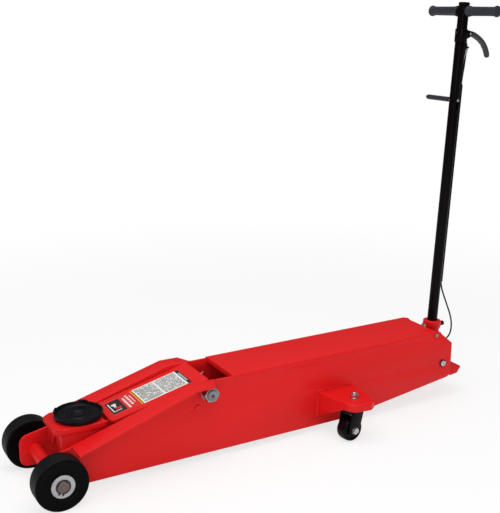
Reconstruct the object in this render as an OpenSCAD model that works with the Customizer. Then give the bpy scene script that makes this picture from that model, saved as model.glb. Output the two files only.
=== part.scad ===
// Long-chassis hydraulic service jack with a T-handle.
// Lengths are in millimetres. Stations along the jack are counted from the front axle,
// heights from the floor. +X runs to the handle, +Z is up.

/* [Front wheels] */
// Diameter of a front wheel
wheel_d = 150; // [125:1:155]
// Width of a front wheel's tread
wheel_w = 57; // [40:1:60]
// Diameter of the front axle
axle_d = 34; // [25:1:40]
// Gap between a side plate and a front wheel
wheel_gap = 23; // [15:1:30]

/* [Chassis] */
// Clear width between the side plates
frame_inner_w = 160; // [160:1:200]
// Thickness of a side plate
plate_t = 8; // [5:0.5:10]
// Height of the side plates' level top edge
frame_top_z = 248; // [240:1:280]
// Height of the side plates' level bottom edge
frame_bottom_z = 21; // [15:1:30]
// Station of the side plates' rear edge
frame_rear_x = 1400; // [1390:1:1680]
// Reach of the front top flange past the side plate
flange_w = 62; // [40:1:80]
// Thickness of the front top flange
flange_t = 7; // [4:0.5:9]
// Thickness of the sheet top cover
cover_t = 4; // [2:0.5:5]
// Station of the top cover's front edge
cover_front_x = 552; // [540:1:620]
// Thickness of the belly plate
belly_t = 6; // [4:0.5:8]
// Length of the tail plate behind the side plates
tail_len = 66; // [40:1:90]

/* [Lift arm] */
// Station of the main pivot
pivot_x = 474; // [460:1:490]
// Height of the main pivot
pivot_z = 215; // [205:1:218]
// Length from the main pivot to the head pin, along the jack
arm_reach = 367; // [305:1:380]
// Drop from the main pivot to the head pin
arm_drop = 67; // [60:1:75]
// Diameter of the main pivot shaft
pivot_d = 32; // [24:1:36]
// Length of the crank below the main pivot
crank_len = 105; // [87:1:110]
// Diameter of the crank pin
crank_pin_d = 30; // [20:1:34]
// Diameter of the head pin
head_pin_d = 22; // [16:1:26]
// Thickness of an arm cheek
cheek_t = 10; // [6:0.5:10]
// Width of the arm's top plate at its front edge
arm_front_w = 132; // [120:1:140]
// Width of the arm's top plate at its rear edge
arm_rear_w = 156; // [140:1:156]
// Diameter of the pins of the levelling links
link_pin_d = 18; // [12:1:20]

/* [Saddle] */
// Outer diameter of the saddle
saddle_d = 140; // [110:1:146]
// Height of the saddle's rim above the saddle bracket
saddle_h = 18; // [14:1:30]
// Diameter of the saddle's stem
saddle_stem_d = 30; // [20:1:34]
// Width of the saddle bracket
bracket_w = 134; // [122:1:136]

/* [Hydraulic unit] */
// Diameter of the ram rod
ram_d = 36; // [25:1:40]
// Outer diameter of the pressure cylinder
cylinder_d = 76; // [64:1:84]
// Outer diameter of the reservoir shell
reservoir_d = 108; // [100:1:112]
// Diameter of the pump plunger
plunger_d = 20; // [14:1:22]

/* [Casters] */
// Diameter of a caster wheel
caster_d = 75; // [60:1:80]
// Width of a caster wheel
caster_w = 40; // [28:1:44]
// Station of the casters' swivel axis
caster_x = 932; // [900:1:1000]
// Distance of the casters' swivel axis from the middle of the jack
caster_y = 180; // [160:1:185]
// Trail of a caster wheel behind its swivel axis
caster_trail = 18; // [12:1:26]
// Angle that the casters are turned to at rest
caster_yaw = 8; // [0:1:40]

/* [Handle] */
// Length of the handle tube above its pivot
handle_len = 1178; // [980:1:1400]
// Outer diameter of the handle tube
tube_d = 34; // [26:1:36]
// Backward lean of the upright handle in degrees
handle_lean = 3.45; // [0:0.05:6]
// Diameter of the T-bar
t_bar_d = 22; // [18:1:22]
// Overall width of the T-bar
t_bar_w = 308; // [260:1:340]
// Diameter of a hand grip
grip_d = 31; // [28:1:36]
// Length of a hand grip
grip_len = 132; // [100:1:135]
// Length of the lock lever out to its tip
lock_reach = 140; // [100:1:150]
// Travel of the lock lever
lock_travel = 22; // [15:1:24]

/* [Hidden] */
$fn = 64;

// Paint and metal colours
red = "#d8232a";
black = "#1c1c1e";
steel = "#9da1a6";
zinc = "#c9ccd0";

// Clearances
run_gap = 0.05;      // radial, between a shaft and its bore
touch_gap = 0.3;     // between faces on different bodies
side_gap = 2;        // between a moving part and the plate beside it

// Chassis
wheel_r = wheel_d / 2;
axle_r = axle_d / 2;
inner_y = frame_inner_w / 2;
outer_y = inner_y + plate_t;
wheel_in_y = outer_y + wheel_gap;
wheel_out_y = wheel_in_y + wheel_w;
washer_t = 3;
nose_reach = 45;             // side plates' reach ahead of the axle
nose_top_z = 123;
ramp_start = [48, 138];      // foot of the sloping top edge
ramp_slope = 0.298;
ramp_end_x = ramp_start[0] + (frame_top_z - ramp_start[1]) / ramp_slope;
flange_end_x = pivot_x + 14;
kink_x = frame_rear_x - 432; // station where the bottom edge starts to rise
rise = 0.138;                // slope of the rising bottom edge
tail_drop_x = frame_rear_x - 57;
function bottom_z(x) = frame_bottom_z + max(0, x - kink_x) * rise;

// Lift arm and levelling links
head_x = pivot_x - arm_reach;
head_z = pivot_z - arm_drop;
link_dx = -35;               // offset of a levelling link from the arm's own line
link_dz = -42;
anchor_x = pivot_x + link_dx;
anchor_z = pivot_z + link_dz;
front_pin_x = head_x + link_dx;
front_pin_z = head_z + link_dz;
lift_angle = 67;
crank_x = pivot_x + crank_len * sin(lift_angle / 2);
crank_z = pivot_z - crank_len * cos(lift_angle / 2);
pivot_r = pivot_d / 2;
bush_r = pivot_r + 4;
hub_r = bush_r + 5;
cheek_in_y = 32;
cheek_out_y = cheek_in_y + cheek_t;
link_in_y = cheek_out_y + 4;
link_out_y = link_in_y + 10;
link_pin_r = link_pin_d / 2;
head_pin_r = head_pin_d / 2;
crank_pin_r = crank_pin_d / 2;
arm_plate_t = 8;
arm_front_x = head_x + 73;
arm_rear_x = pivot_x + 6;
arm_front_z = head_z + 32;
arm_rear_z = pivot_z + hub_r + arm_plate_t + 3;
arm_plate_slope = (arm_rear_z - arm_front_z) / (arm_rear_x - arm_front_x);

// Saddle bracket
bracket_half = bracket_w / 2;
bracket_t = 6;
bracket_top_z = head_z + 36.5;
bracket_front_x = head_x - 84;
bracket_rear_x = head_x + 58;
saddle_r = saddle_d / 2;
stem_r = saddle_stem_d / 2;
boss_bottom_z = head_z + head_pin_r + 4;

// Hydraulic unit
ram_z = (crank_z + pivot_z - crank_len) / 2;
ram_r = ram_d / 2;
yoke_rear_x = crank_x + 58;
hinge_x = frame_rear_x - 38; // station of the handle's hinge
block_rear_x = hinge_x - 62;
block_front_x = block_rear_x - 85;
cylinder_front_x = block_front_x - 270;
piston_x = block_front_x - 45;
block_half = 60;
cylinder_r = cylinder_d / 2;
reservoir_r = reservoir_d / 2;
plunger_r = plunger_d / 2;

// Handle pivot and the frame of the leaning handle
hinge_z = 134;
hinge_r = 10;
axis_offset = 13.3;          // handle axis behind the hinge
foot_x = hinge_x + axis_offset;
tube_r = tube_d / 2;
tube_wall = 2.5;
socket_floor = 62;           // heights along the handle axis
socket_top = 126;
tube_bottom = 80;
cam_arm = 32;
cam_x = hinge_x + cam_arm * sin(30);
cam_z = hinge_z - cam_arm * cos(30);
cam_r = 12;
t_bar_s = handle_len - 22;
lever_s = handle_len - 91;
lever_hub = 6;               // radius of the squeeze lever's eye
lever_x = tube_r + 4 + lever_hub;
tip_x = 118;                 // squeeze lever's tip, across and along the handle
tip_drop = 66;
tip_r = 7;
lock_s = handle_len - 303;
conduit_x = tube_r + 5;
conduit_bottom = 260;
conduit_top = handle_len - 253;

// Casters
caster_r = caster_d / 2;
plate_z = 135.5;             // top of the caster bracket
caster_plate_t = 5;
stud_r = 8;
caster_axle_r = 5;
fork_top_z = plate_z - caster_plate_t;

// The origin is under the middle of the jack's overall length
rear_reach = foot_x + tip_x * cos(handle_lean)
           + (lever_s - tip_drop) * sin(handle_lean) + tip_r;
origin_x = (rear_reach - wheel_r) / 2;

// The release cable's route, from the conduit's mouth into the rear of the chassis.
// Its stations are counted from the handle's hinge.
cable_r = 2.7;
cable_route = [
  [50.9, 0, 392], [56, 1, 370], [66, 2, 345], [79, 3, 318], [92, 5, 292], [104, 8, 270],
  [114, 11, 248], [121, 14, 226], [125, 18, 205], [126, 23, 186], [122, 29, 170],
  [112, 35, 159], [94, 40, 152], [72, 44, 149], [50, 46, 150], [28, 46, 154], [8, 46, 158],
  [-8, 46, 160], [-24, 46, 160]
];

// ---- shape helpers ----

// Puts children in the jack's frame
module jack() { translate([-origin_x, 0, 0]) children(); }

// Extrudes an outline drawn in X and Z between two widths
module slab(y0, y1) {
  translate([0, y1, 0]) rotate([90, 0, 0]) linear_extrude(y1 - y0) children();
}

// Cylinder along Y
module pin_y(x, z, r, y0, y1) {
  translate([x, y1, z]) rotate([90, 0, 0]) cylinder(r = r, h = y1 - y0);
}

// Cylinder along X
module pin_x(y, z, r, x0, x1) {
  translate([x0, y, z]) rotate([0, 90, 0]) cylinder(r = r, h = x1 - x0);
}

// A child and its mirror image on the other side
module both_sides() { children(); mirror([0, 1, 0]) children(); }

// Points of an arc
function arc(cx, cy, r, a0, a1, n = 6) =
  [for (i = [0:n]) let (a = a0 + (a1 - a0) * i / n) [cx + r * cos(a), cy + r * sin(a)]];

// Straight-sided bar with a round eye at each end
module bar(a, ra, b, rb) {
  d = norm(b - a);
  dir = atan2(b[1] - a[1], b[0] - a[0]);
  side = acos((ra - rb) / d);
  flat = 0.2;
  translate(a) circle(ra);
  translate(b) circle(rb);
  polygon([
    a + (ra - flat) * [cos(dir + side), sin(dir + side)],
    b + (rb - flat) * [cos(dir + side), sin(dir + side)],
    b + (rb - flat) * [cos(dir - side), sin(dir - side)],
    a + (ra - flat) * [cos(dir - side), sin(dir - side)]
  ]);
}

// Hexagon nut or bolt head along +Z
module hex(across, h) { cylinder(d = across / cos(30), h = h, $fn = 6); }

// Children in the frame of the leaning handle: Z runs up the handle's own axis
module on_handle() {
  translate([foot_x, 0, hinge_z]) rotate([0, handle_lean, 0]) children();
}

// ---- chassis ----

module side_outline() {
  polygon(concat(
    arc(24 - nose_reach, frame_bottom_z + 31, 24, 270, 180),
    arc(28 - nose_reach, nose_top_z - 27, 28, 180, 104),
    [ramp_start, [ramp_end_x, frame_top_z], [tail_drop_x, frame_top_z],
     [frame_rear_x, frame_top_z - 48], [frame_rear_x, bottom_z(frame_rear_x) + 8],
     [frame_rear_x - 13, bottom_z(frame_rear_x - 13)], [kink_x, frame_bottom_z],
     [100, frame_bottom_z]]
  ));
}

// The top flange is folded outwards and stands a little proud of the plate's edge
module flange() {
  proud = 1;
  x0 = ramp_start[0] + 7;
  z0 = ramp_start[1] + 7 * ramp_slope + proud;
  z1 = frame_top_z + proud;
  end_y = outer_y + flange_w - 18;
  intersection() {
    slab(inner_y, outer_y + flange_w) polygon([
      [x0, z0], [ramp_end_x, z1], [flange_end_x + 20, z1],
      [flange_end_x + 20, z1 - flange_t], [ramp_end_x + 2, z1 - flange_t], [x0, z0 - flange_t]
    ]);
    linear_extrude(frame_top_z + 10) polygon([
      [x0 - 1, inner_y - 1], [x0 - 1, outer_y + flange_w], [flange_end_x - 12, end_y],
      [flange_end_x + 8, outer_y], [flange_end_x + 8, inner_y - 1]
    ]);
  }
}

module side_plate() {
  color(red) difference() {
    union() {
      slab(inner_y, outer_y) side_outline();
      flange();
    }
    pin_y(0, wheel_r, axle_r, inner_y - 1, outer_y + 1);
    pin_y(pivot_x, pivot_z, pivot_r, inner_y - 1, outer_y + 1);
    pin_y(anchor_x, anchor_z, link_pin_r, inner_y - 1, outer_y + 1);
    pin_y(hinge_x, hinge_z, hinge_r, inner_y - 1, outer_y + 1);
    pin_y(cover_screw_x, cover_screw_z, cover_screw_r, inner_y - 1, outer_y + 1);
  }
}

module side_plate_left() { jack() mirror([0, 1, 0]) side_plate(); }

module side_plate_right() { jack() side_plate(); }

cover_screw_x = tail_drop_x - 14;
cover_screw_z = frame_top_z - 9;
cover_screw_r = 4;
lip_in_y = inner_y - 4;
lip_depth = 26;

module top_cover() {
  rear_x = tail_drop_x - 15;
  jack() color(red) difference() {
    union() {
      translate([cover_front_x, -outer_y, frame_top_z])
        cube([rear_x - cover_front_x, 2 * outer_y, cover_t]);
      translate([cover_front_x, -inner_y + side_gap, frame_top_z - 12])
        cube([cover_t, 2 * (inner_y - side_gap), 12]);
      both_sides() translate([cover_front_x + 60, lip_in_y, frame_top_z - lip_depth])
        cube([rear_x - cover_front_x - 48, inner_y - lip_in_y, lip_depth]);
    }
    both_sides() pin_y(cover_screw_x, cover_screw_z, cover_screw_r, lip_in_y - 1, inner_y + 1);
  }
}

module belly_plate() {
  rear_x = frame_rear_x + tail_len;
  jack() color(red) intersection() {
    slab(-outer_y, outer_y) polygon([
      [560, frame_bottom_z], [kink_x, frame_bottom_z], [rear_x, bottom_z(rear_x)],
      [rear_x, bottom_z(rear_x) + belly_t], [kink_x, frame_bottom_z + belly_t],
      [560, frame_bottom_z + belly_t]
    ]);
    linear_extrude(frame_top_z) polygon([
      [560, -inner_y], [frame_rear_x, -inner_y], [frame_rear_x, -outer_y],
      [rear_x - 36, -outer_y], [rear_x, 24 - outer_y], [rear_x, outer_y - 24],
      [rear_x - 36, outer_y], [frame_rear_x, outer_y], [frame_rear_x, inner_y], [560, inner_y]
    ]);
  }
}

// Stations, heights and radii of the tubes and bars that tie the side plates together
ties = [[300, frame_bottom_z + 22, 15], [block_rear_x + 2, 206, 11]];
// Station and radius of the stubs that anchor the return springs
spring_stub_x = cylinder_front_x - 185;
spring_stub_r = 8;

module cross_ties() {
  jack() color(red) {
    for (tie = ties) pin_y(tie[0], tie[1], tie[2], -inner_y, inner_y);
    both_sides() pin_y(spring_stub_x, crank_z, spring_stub_r, link_in_y - 4, inner_y);
  }
}

module front_axle() {
  end_y = wheel_out_y + 2 * washer_t + 2.5;
  collar_end = wheel_in_y - touch_gap;
  jack() color(steel) {
    pin_y(0, wheel_r, axle_r, -end_y, end_y);
    both_sides() pin_y(0, wheel_r, axle_r + 8, outer_y, collar_end);
  }
}

module ring_y(x, z, r_in, r_out, y0, y1) {
  difference() {
    pin_y(x, z, r_out, y0, y1);
    pin_y(x, z, r_in, y0 - 1, y1 + 1);
  }
}

module wheel_retainers() {
  washer_y = wheel_out_y + touch_gap;
  jack() color(zinc) both_sides() {
    ring_y(0, wheel_r, axle_r, 33, washer_y, washer_y + washer_t);
    ring_y(0, wheel_r, axle_r, axle_r + 4, washer_y + washer_t, washer_y + washer_t + 2);
  }
}

module arm_pivot_shaft() {
  jack() color(steel) pin_y(pivot_x, pivot_z, pivot_r, -outer_y - 31, outer_y + 31);
}

module pivot_fasteners() {
  jack() color(zinc) both_sides() {
    ring_y(pivot_x, pivot_z, pivot_r, 25, outer_y, outer_y + 5);
    difference() {
      translate([pivot_x, outer_y + 5, pivot_z]) rotate([-90, 0, 0]) hex(42, 22);
      pin_y(pivot_x, pivot_z, pivot_r, outer_y, outer_y + 30);
    }
  }
}

module link_anchor_pins() {
  jack() color(red) both_sides() {
    pin_y(anchor_x, anchor_z, link_pin_r, cheek_out_y + 1.5, outer_y + 2);
    ring_y(anchor_x, anchor_z, link_pin_r, link_pin_r + 5, link_out_y + 1, inner_y);
  }
}

module cover_screws() {
  jack() color(zinc) both_sides() {
    pin_y(cover_screw_x, cover_screw_z, cover_screw_r, lip_in_y - 5, outer_y);
    pin_y(cover_screw_x, cover_screw_z, 8, outer_y, outer_y + 4);
  }
}

module handle_pivot_bolt() {
  jack() color(steel) {
    pin_y(hinge_x, hinge_z, hinge_r, -outer_y - 6, outer_y + 6);
    both_sides() ring_y(hinge_x, hinge_z, hinge_r, 15, outer_y, outer_y + 3);
  }
}

// Plan outline of a caster bracket, from the side plate round its nose and back
bracket_path = [
  [caster_x - 72, outer_y], [caster_x - 48, caster_y + 34], [caster_x - 34, caster_y + 54],
  [caster_x + 22, caster_y + 61], [caster_x + 44, caster_y + 46], [caster_x + 60, outer_y]
];

skirt_deep = 81;             // skirt at the side plate
skirt_shallow = 24;          // skirt at the nose

module caster_bracket() {
  skirt_z = plate_z - skirt_deep;
  nose_z = plate_z - skirt_shallow;
  pad = 8;                   // backing plate's reach round the bracket
  pad_t = 3;
  color(red) difference() {
    translate([0, 0, skirt_z]) linear_extrude(skirt_deep) polygon(bracket_path);
    translate([0, 0, skirt_z - 1]) linear_extrude(fork_top_z - skirt_z + 1)
      offset(delta = -caster_plate_t) polygon(bracket_path);
    translate([caster_x - 100, 0, 0]) rotate([90, 0, 90]) linear_extrude(200) polygon([
      [outer_y + 6, skirt_z - 1], [outer_y + 6, skirt_z], [caster_y + 18, nose_z],
      [300, nose_z], [300, skirt_z - 1]
    ]);
    translate([caster_x, caster_y, 0]) cylinder(r = stud_r, h = 200);
  }
  color(red) slab(outer_y, outer_y + pad_t) polygon([
    [caster_x - 72 - pad, skirt_z - 3], [caster_x + 60 + pad, skirt_z - 3],
    [caster_x + 60 + pad, plate_z + pad - 3], [caster_x + 60, plate_z + pad],
    [caster_x - 72, plate_z + pad], [caster_x - 72 - pad, plate_z + pad - 3]
  ]);
}

module caster_bracket_left() { jack() mirror([0, 1, 0]) caster_bracket(); }

module caster_bracket_right() { jack() caster_bracket(); }

fork_t = 6;

module caster_studs() {
  head_top = fork_top_z - fork_t - 2 * touch_gap;
  jack() color(zinc) both_sides() translate([caster_x, caster_y, 0]) {
    translate([0, 0, head_top - 6]) cylinder(r = 13, h = 6);
    translate([0, 0, head_top]) cylinder(r = stud_r, h = plate_z + 18 - head_top);
    translate([0, 0, plate_z]) difference() {
      union() { cylinder(r = 14, h = 2.5); translate([0, 0, 2.5]) hex(22, 10); }
      translate([0, 0, -1]) cylinder(r = stud_r, h = 20);
    }
  }
}

// ---- hydraulic unit ----

valve_y = 46;
lever_pin_x = block_rear_x + 18;
lever_pin_z = 150;

module pump_block() {
  bore_len = 50;
  block_z = bottom_z(block_rear_x) + belly_t + 2;
  jack() color(steel) difference() {
    union() {
      translate([block_front_x, -block_half, block_z])
        cube([block_rear_x - block_front_x, 2 * block_half, ram_z + 48 - block_z]);
      both_sides() pin_y((block_front_x + block_rear_x) / 2, ram_z, 14, block_half, inner_y);
      both_sides() translate([block_rear_x, 0, 0])
        slab(valve_y - 12, valve_y - 6) polygon([[0, 138], [22, 142], [22, 158], [0, 162]]);
    }
    pin_x(0, cam_z, plunger_r + run_gap, block_rear_x - bore_len, block_rear_x + 1);
  }
}

module cylinder_tube() {
  jack() color(steel) difference() {
    union() {
      pin_x(0, ram_z, cylinder_r, cylinder_front_x, block_front_x);
      pin_x(0, ram_z, cylinder_r + 6, cylinder_front_x - 40, cylinder_front_x);
    }
    pin_x(0, ram_z, cylinder_r - 8, cylinder_front_x, block_front_x - 10);
    pin_x(0, ram_z, ram_r + run_gap, cylinder_front_x - 41, cylinder_front_x + 1);
  }
}

module reservoir_shell() {
  front_x = cylinder_front_x + 20;
  jack() color(red) difference() {
    pin_x(0, ram_z, reservoir_r, front_x, block_front_x);
    pin_x(0, ram_z, reservoir_r - 3, front_x + 5, block_front_x + 1);
    pin_x(0, ram_z, cylinder_r, front_x - 1, block_front_x);
  }
}

module release_valve() {
  jack() color(zinc) {
    pin_x(valve_y + 3, lever_pin_z - 24, 8, block_rear_x, block_rear_x + 3);
    pin_x(valve_y + 3, lever_pin_z - 24, 3, block_rear_x + 3, block_rear_x + 6.5);
    pin_y(lever_pin_x, lever_pin_z, 3, valve_y - 6, valve_y + 8);
  }
}

module lock_quadrant() {
  jack() color(steel) difference() {
    slab(-8, 8) difference() {
      polygon(concat(
        [[block_rear_x + 2, 200], [hinge_x, hinge_z]], arc(hinge_x, hinge_z, 54, 66, 150, 10)
      ));
      translate([ties[1][0], ties[1][1]]) circle(ties[1][2]);
    }
    pin_y(hinge_x, hinge_z, hinge_r, -9, 9);
    on_handle() translate([-6, -10, 36]) cube([12, 20, 40]);
  }
}

module cable_anchor() {
  anchor_tab_x = hinge_x - 16;
  jack() color(zinc) difference() {
    slab(valve_y - 8, inner_y) polygon([
      [anchor_tab_x, 172], [anchor_tab_x + 6, 172], [anchor_tab_x + 6, 150], [anchor_tab_x, 150]
    ]);
    pin_x(valve_y, 160, cable_r + touch_gap, anchor_tab_x - 6, anchor_tab_x + 14);
  }
}

// ---- lift arm ----

arm_head = [head_x, head_z];
arm_pivot = [pivot_x, pivot_z];
crank = [crank_x, crank_z];

function arm_plate_z(x) = arm_front_z + (x - arm_front_x) * arm_plate_slope;

module arm_cheeks() {
  top_x = arm_front_x + 8;
  cheek_top_z = arm_plate_z(arm_front_x) - arm_plate_t;
  jack() color(red) both_sides() difference() {
    slab(cheek_in_y, cheek_out_y) {
      bar(arm_head, head_pin_r + 7, arm_pivot, hub_r + 6);
      bar(arm_pivot, hub_r + 6, crank, crank_pin_r + 9);
      polygon([
        [top_x, head_z], [top_x, arm_plate_z(top_x) - arm_plate_t],
        [arm_rear_x, arm_plate_z(arm_rear_x) - arm_plate_t], [pivot_x + 10, pivot_z - 10],
        [crank_x - 34, crank_z + 6], [300, head_z + 8]
      ]);
    }
    pin_y(head_x, head_z, head_pin_r, cheek_in_y - 1, cheek_out_y + 1);
    pin_y(pivot_x, pivot_z, hub_r, cheek_in_y - 1, cheek_out_y + 1);
    pin_y(crank_x, crank_z, crank_pin_r, cheek_in_y - 1, cheek_out_y + 1);
    slab(cheek_in_y - 1, cheek_out_y + 1) polygon([
      [head_x + 10, 300], [head_x + 10, cheek_top_z], [arm_front_x, cheek_top_z],
      [arm_rear_x + 40, arm_plate_z(arm_rear_x + 40) - arm_plate_t], [arm_rear_x + 40, 300]
    ]);
    pin_y(brace_x, brace_z, brace_r, cheek_in_y - 1, cheek_out_y + 1);
  }
}

module arm_top_plate() {
  front = arm_front_w / 2;
  rear = arm_rear_w / 2;
  corner = 12;
  jack() color(red) intersection() {
    slab(-inner_y, inner_y) polygon([
      [arm_front_x, arm_front_z - arm_plate_t], [arm_front_x, arm_front_z],
      [arm_rear_x, arm_rear_z], [arm_rear_x, arm_rear_z - arm_plate_t]
    ]);
    linear_extrude(300) polygon([
      [arm_front_x, corner - front], [arm_front_x + corner, -front], [arm_rear_x, -rear],
      [arm_rear_x, rear], [arm_front_x + corner, front], [arm_front_x, front - corner]
    ]);
  }
}

brace_x = head_x + 143;
brace_z = head_z + 20;
brace_r = 14;

module arm_cross_tubes() {
  jack() color(red) {
    difference() {
      pin_y(pivot_x, pivot_z, hub_r, side_gap - inner_y, inner_y - side_gap);
      pin_y(pivot_x, pivot_z, bush_r, -inner_y, inner_y);
    }
    pin_y(brace_x, brace_z, brace_r, -cheek_out_y, cheek_out_y);
  }
}

module arm_bushes() {
  jack() color("#b08d4f") both_sides()
    ring_y(pivot_x, pivot_z, pivot_r + run_gap, bush_r, inner_y - side_gap - 40,
           inner_y - side_gap);
}

module crank_pin() {
  jack() color(steel) pin_y(crank_x, crank_z, crank_pin_r, -link_out_y - 2, link_out_y + 2);
}

module head_pin() {
  jack() color(red) pin_y(head_x, head_z, head_pin_r, -bracket_half, bracket_half);
}

module grease_nipple() {
  jack() translate([pivot_x, 0, pivot_z]) rotate([0, 45, 0]) color(zinc) {
    translate([0, 0, hub_r - 0.4]) cylinder(r = 5, h = 6);
    translate([0, 0, hub_r + 5.6]) cylinder(r = 3.2, h = 8);
  }
}

label_len = 250;
label_w = 102;
label_t = 0.5;

module arm_label() {
  start = arm_front_x + 16;
  jack() translate([start, 0, arm_plate_z(start)])
    rotate([0, -atan(arm_plate_slope), 0]) color("#e8e8e6")
      translate([0, -label_w / 2, 0]) cube([label_len, label_w, label_t]);
}

// ---- head ----

head_in_y = bracket_half - bracket_t;

module saddle_bracket() {
  corner = 18;
  under = bracket_top_z - bracket_t;
  foot_z = front_pin_z - 16;
  jack() color(red) difference() {
    union() {
      translate([0, 0, under]) linear_extrude(bracket_t) polygon([
        [bracket_front_x, corner - bracket_half], [bracket_front_x + corner, -bracket_half],
        [bracket_rear_x, -bracket_half], [bracket_rear_x, bracket_half],
        [bracket_front_x + corner, bracket_half], [bracket_front_x, bracket_half - corner]
      ]);
      both_sides() slab(head_in_y, bracket_half) polygon([
        [bracket_front_x + corner, under], [bracket_rear_x, under],
        [bracket_rear_x, under - 10], [head_x + 34, head_z - 22], [front_pin_x + 22, foot_z],
        [front_pin_x - 22, foot_z], [bracket_front_x + corner, front_pin_z]
      ]);
      translate([bracket_front_x + corner - bracket_t, 0, 0]) rotate([90, 0, 90])
        linear_extrude(bracket_t) polygon([
          [-bracket_half, under], [bracket_half, under], [bracket_half - 10, front_pin_z],
          [26, front_pin_z], [0, front_pin_z + 42], [-26, front_pin_z],
          [10 - bracket_half, front_pin_z]
        ]);
      translate([head_x, 0, boss_bottom_z])
        cylinder(r = stem_r + 8, h = bracket_top_z - boss_bottom_z);
    }
    translate([head_x, 0, 0]) cylinder(r = stem_r + run_gap, h = 300);
    pin_y(head_x, head_z, head_pin_r + run_gap, -100, 100);
    pin_y(front_pin_x, front_pin_z, link_pin_r, -100, 100);
  }
}

module link_front_pin() {
  jack() color(red)
    pin_y(front_pin_x, front_pin_z, link_pin_r, -bracket_half, bracket_half);
}

module saddle() {
  base_z = bracket_top_z + touch_gap;
  rim_z = bracket_top_z + saddle_h;
  lug_h = 5;
  lug_root = 3;
  lug_angle = 26;
  jack() color(black) translate([head_x, 0, 0]) {
    rotate_extrude() polygon([
      [0, boss_bottom_z], [stem_r, boss_bottom_z], [stem_r, base_z], [saddle_r - 14, base_z],
      [saddle_r, base_z + 8], [saddle_r, rim_z], [saddle_r - 7, rim_z],
      [saddle_r - 13, base_z + 9], [34, base_z + 6], [30, base_z + 9], [22, base_z + 9],
      [18, base_z + 5], [0, base_z + 5]
    ]);
    for (i = [0:3]) rotate([0, 0, 60 + 90 * i - lug_angle / 2])
      rotate_extrude(angle = lug_angle)
        translate([saddle_r - 6.4, rim_z - lug_root]) square([5.8, lug_h + lug_root]);
  }
}

module levelling_links() {
  open_gap = 0.5;            // at the front pin, where the linkage closes
  jack() color(red) both_sides() difference() {
    slab(link_in_y, link_out_y)
      bar([front_pin_x, front_pin_z], link_pin_r + 7, [anchor_x, anchor_z], link_pin_r + 7);
    pin_y(front_pin_x, front_pin_z, link_pin_r + open_gap, link_in_y - 1, link_out_y + 1);
    pin_y(anchor_x, anchor_z, link_pin_r + run_gap, link_in_y - 1, link_out_y + 1);
  }
}

// ---- ram ----

yoke_out_y = cheek_in_y - 3;
slot_gap = 2;                // each side of the crank pin, across the slot
slot_sweep = (crank_z - pivot_z + crank_len) / 2 + 2;

module ram_yoke() {
  half = crank_pin_r + slot_sweep + 12;
  jack() color(steel) difference() {
    union() {
      both_sides() slab(yoke_out_y - 12, yoke_out_y) polygon([
        [crank_x - 30, ram_z - half + 8], [crank_x - 22, ram_z - half],
        [yoke_rear_x, ram_z - half], [yoke_rear_x, ram_z + half],
        [crank_x - 22, ram_z + half], [crank_x - 30, ram_z + half - 8]
      ]);
      translate([crank_x + 28, -yoke_out_y, ram_z - half])
        cube([yoke_rear_x - crank_x - 28, 2 * yoke_out_y, 2 * half]);
    }
    for (dz = [-slot_sweep, slot_sweep])
      pin_y(crank_x, ram_z + dz, crank_pin_r + slot_gap, -40, 40);
    translate([crank_x - crank_pin_r - slot_gap, -40, ram_z - slot_sweep])
      cube([2 * (crank_pin_r + slot_gap), 80, 2 * slot_sweep]);
  }
}

module ram_rod() {
  jack() color(steel) {
    pin_x(0, ram_z, ram_r, yoke_rear_x, piston_x);
    pin_x(0, ram_z, cylinder_r - 8 - run_gap, piston_x, piston_x + 30);
  }
}

module pump_plunger() {
  end_x = cam_x - cam_r - 0.5;
  jack() color(steel) {
    pin_x(0, cam_z, plunger_r, block_rear_x - 14, end_x - 4);
    pin_x(0, cam_z, plunger_r + 3, end_x - 4, end_x);
  }
}

module pump_spring() {
  end_x = cam_x - cam_r - 4.5;
  jack() color(steel) difference() {
    pin_x(0, cam_z, plunger_r + 2.6, block_rear_x, end_x);
    pin_x(0, cam_z, plunger_r + 0.4, block_rear_x - 1, end_x + 1);
  }
}

// ---- wheels ----

module front_wheel() {
  recess = 5;
  jack() color(black) translate([0, wheel_out_y, wheel_r]) rotate([90, 0, 0])
    rotate_extrude() polygon([
      [axle_r + run_gap, 0], [34, 0], [36, recess], [wheel_r - 10, recess],
      [wheel_r - 8, 0], [wheel_r - 2, 0], [wheel_r, 2], [wheel_r, wheel_w - 2],
      [wheel_r - 2, wheel_w], [wheel_r - 8, wheel_w], [wheel_r - 10, wheel_w - recess],
      [36, wheel_w - recess], [34, wheel_w], [axle_r + run_gap, wheel_w]
    ]);
}

module front_wheel_left() { mirror([0, 1, 0]) front_wheel(); }

module front_wheel_right() { front_wheel(); }

leg_in_y = caster_w / 2 + 2;
leg_t = 4;
housing_r = 24;              // swivel bearing's housing under the fork's top
housing_len = 36;

// Children in the frame of a caster: its swivel axis is Z and its wheel trails along -X
module on_caster() {
  jack() translate([caster_x, caster_y, 0]) rotate([0, 0, -caster_yaw]) children();
}

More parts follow.
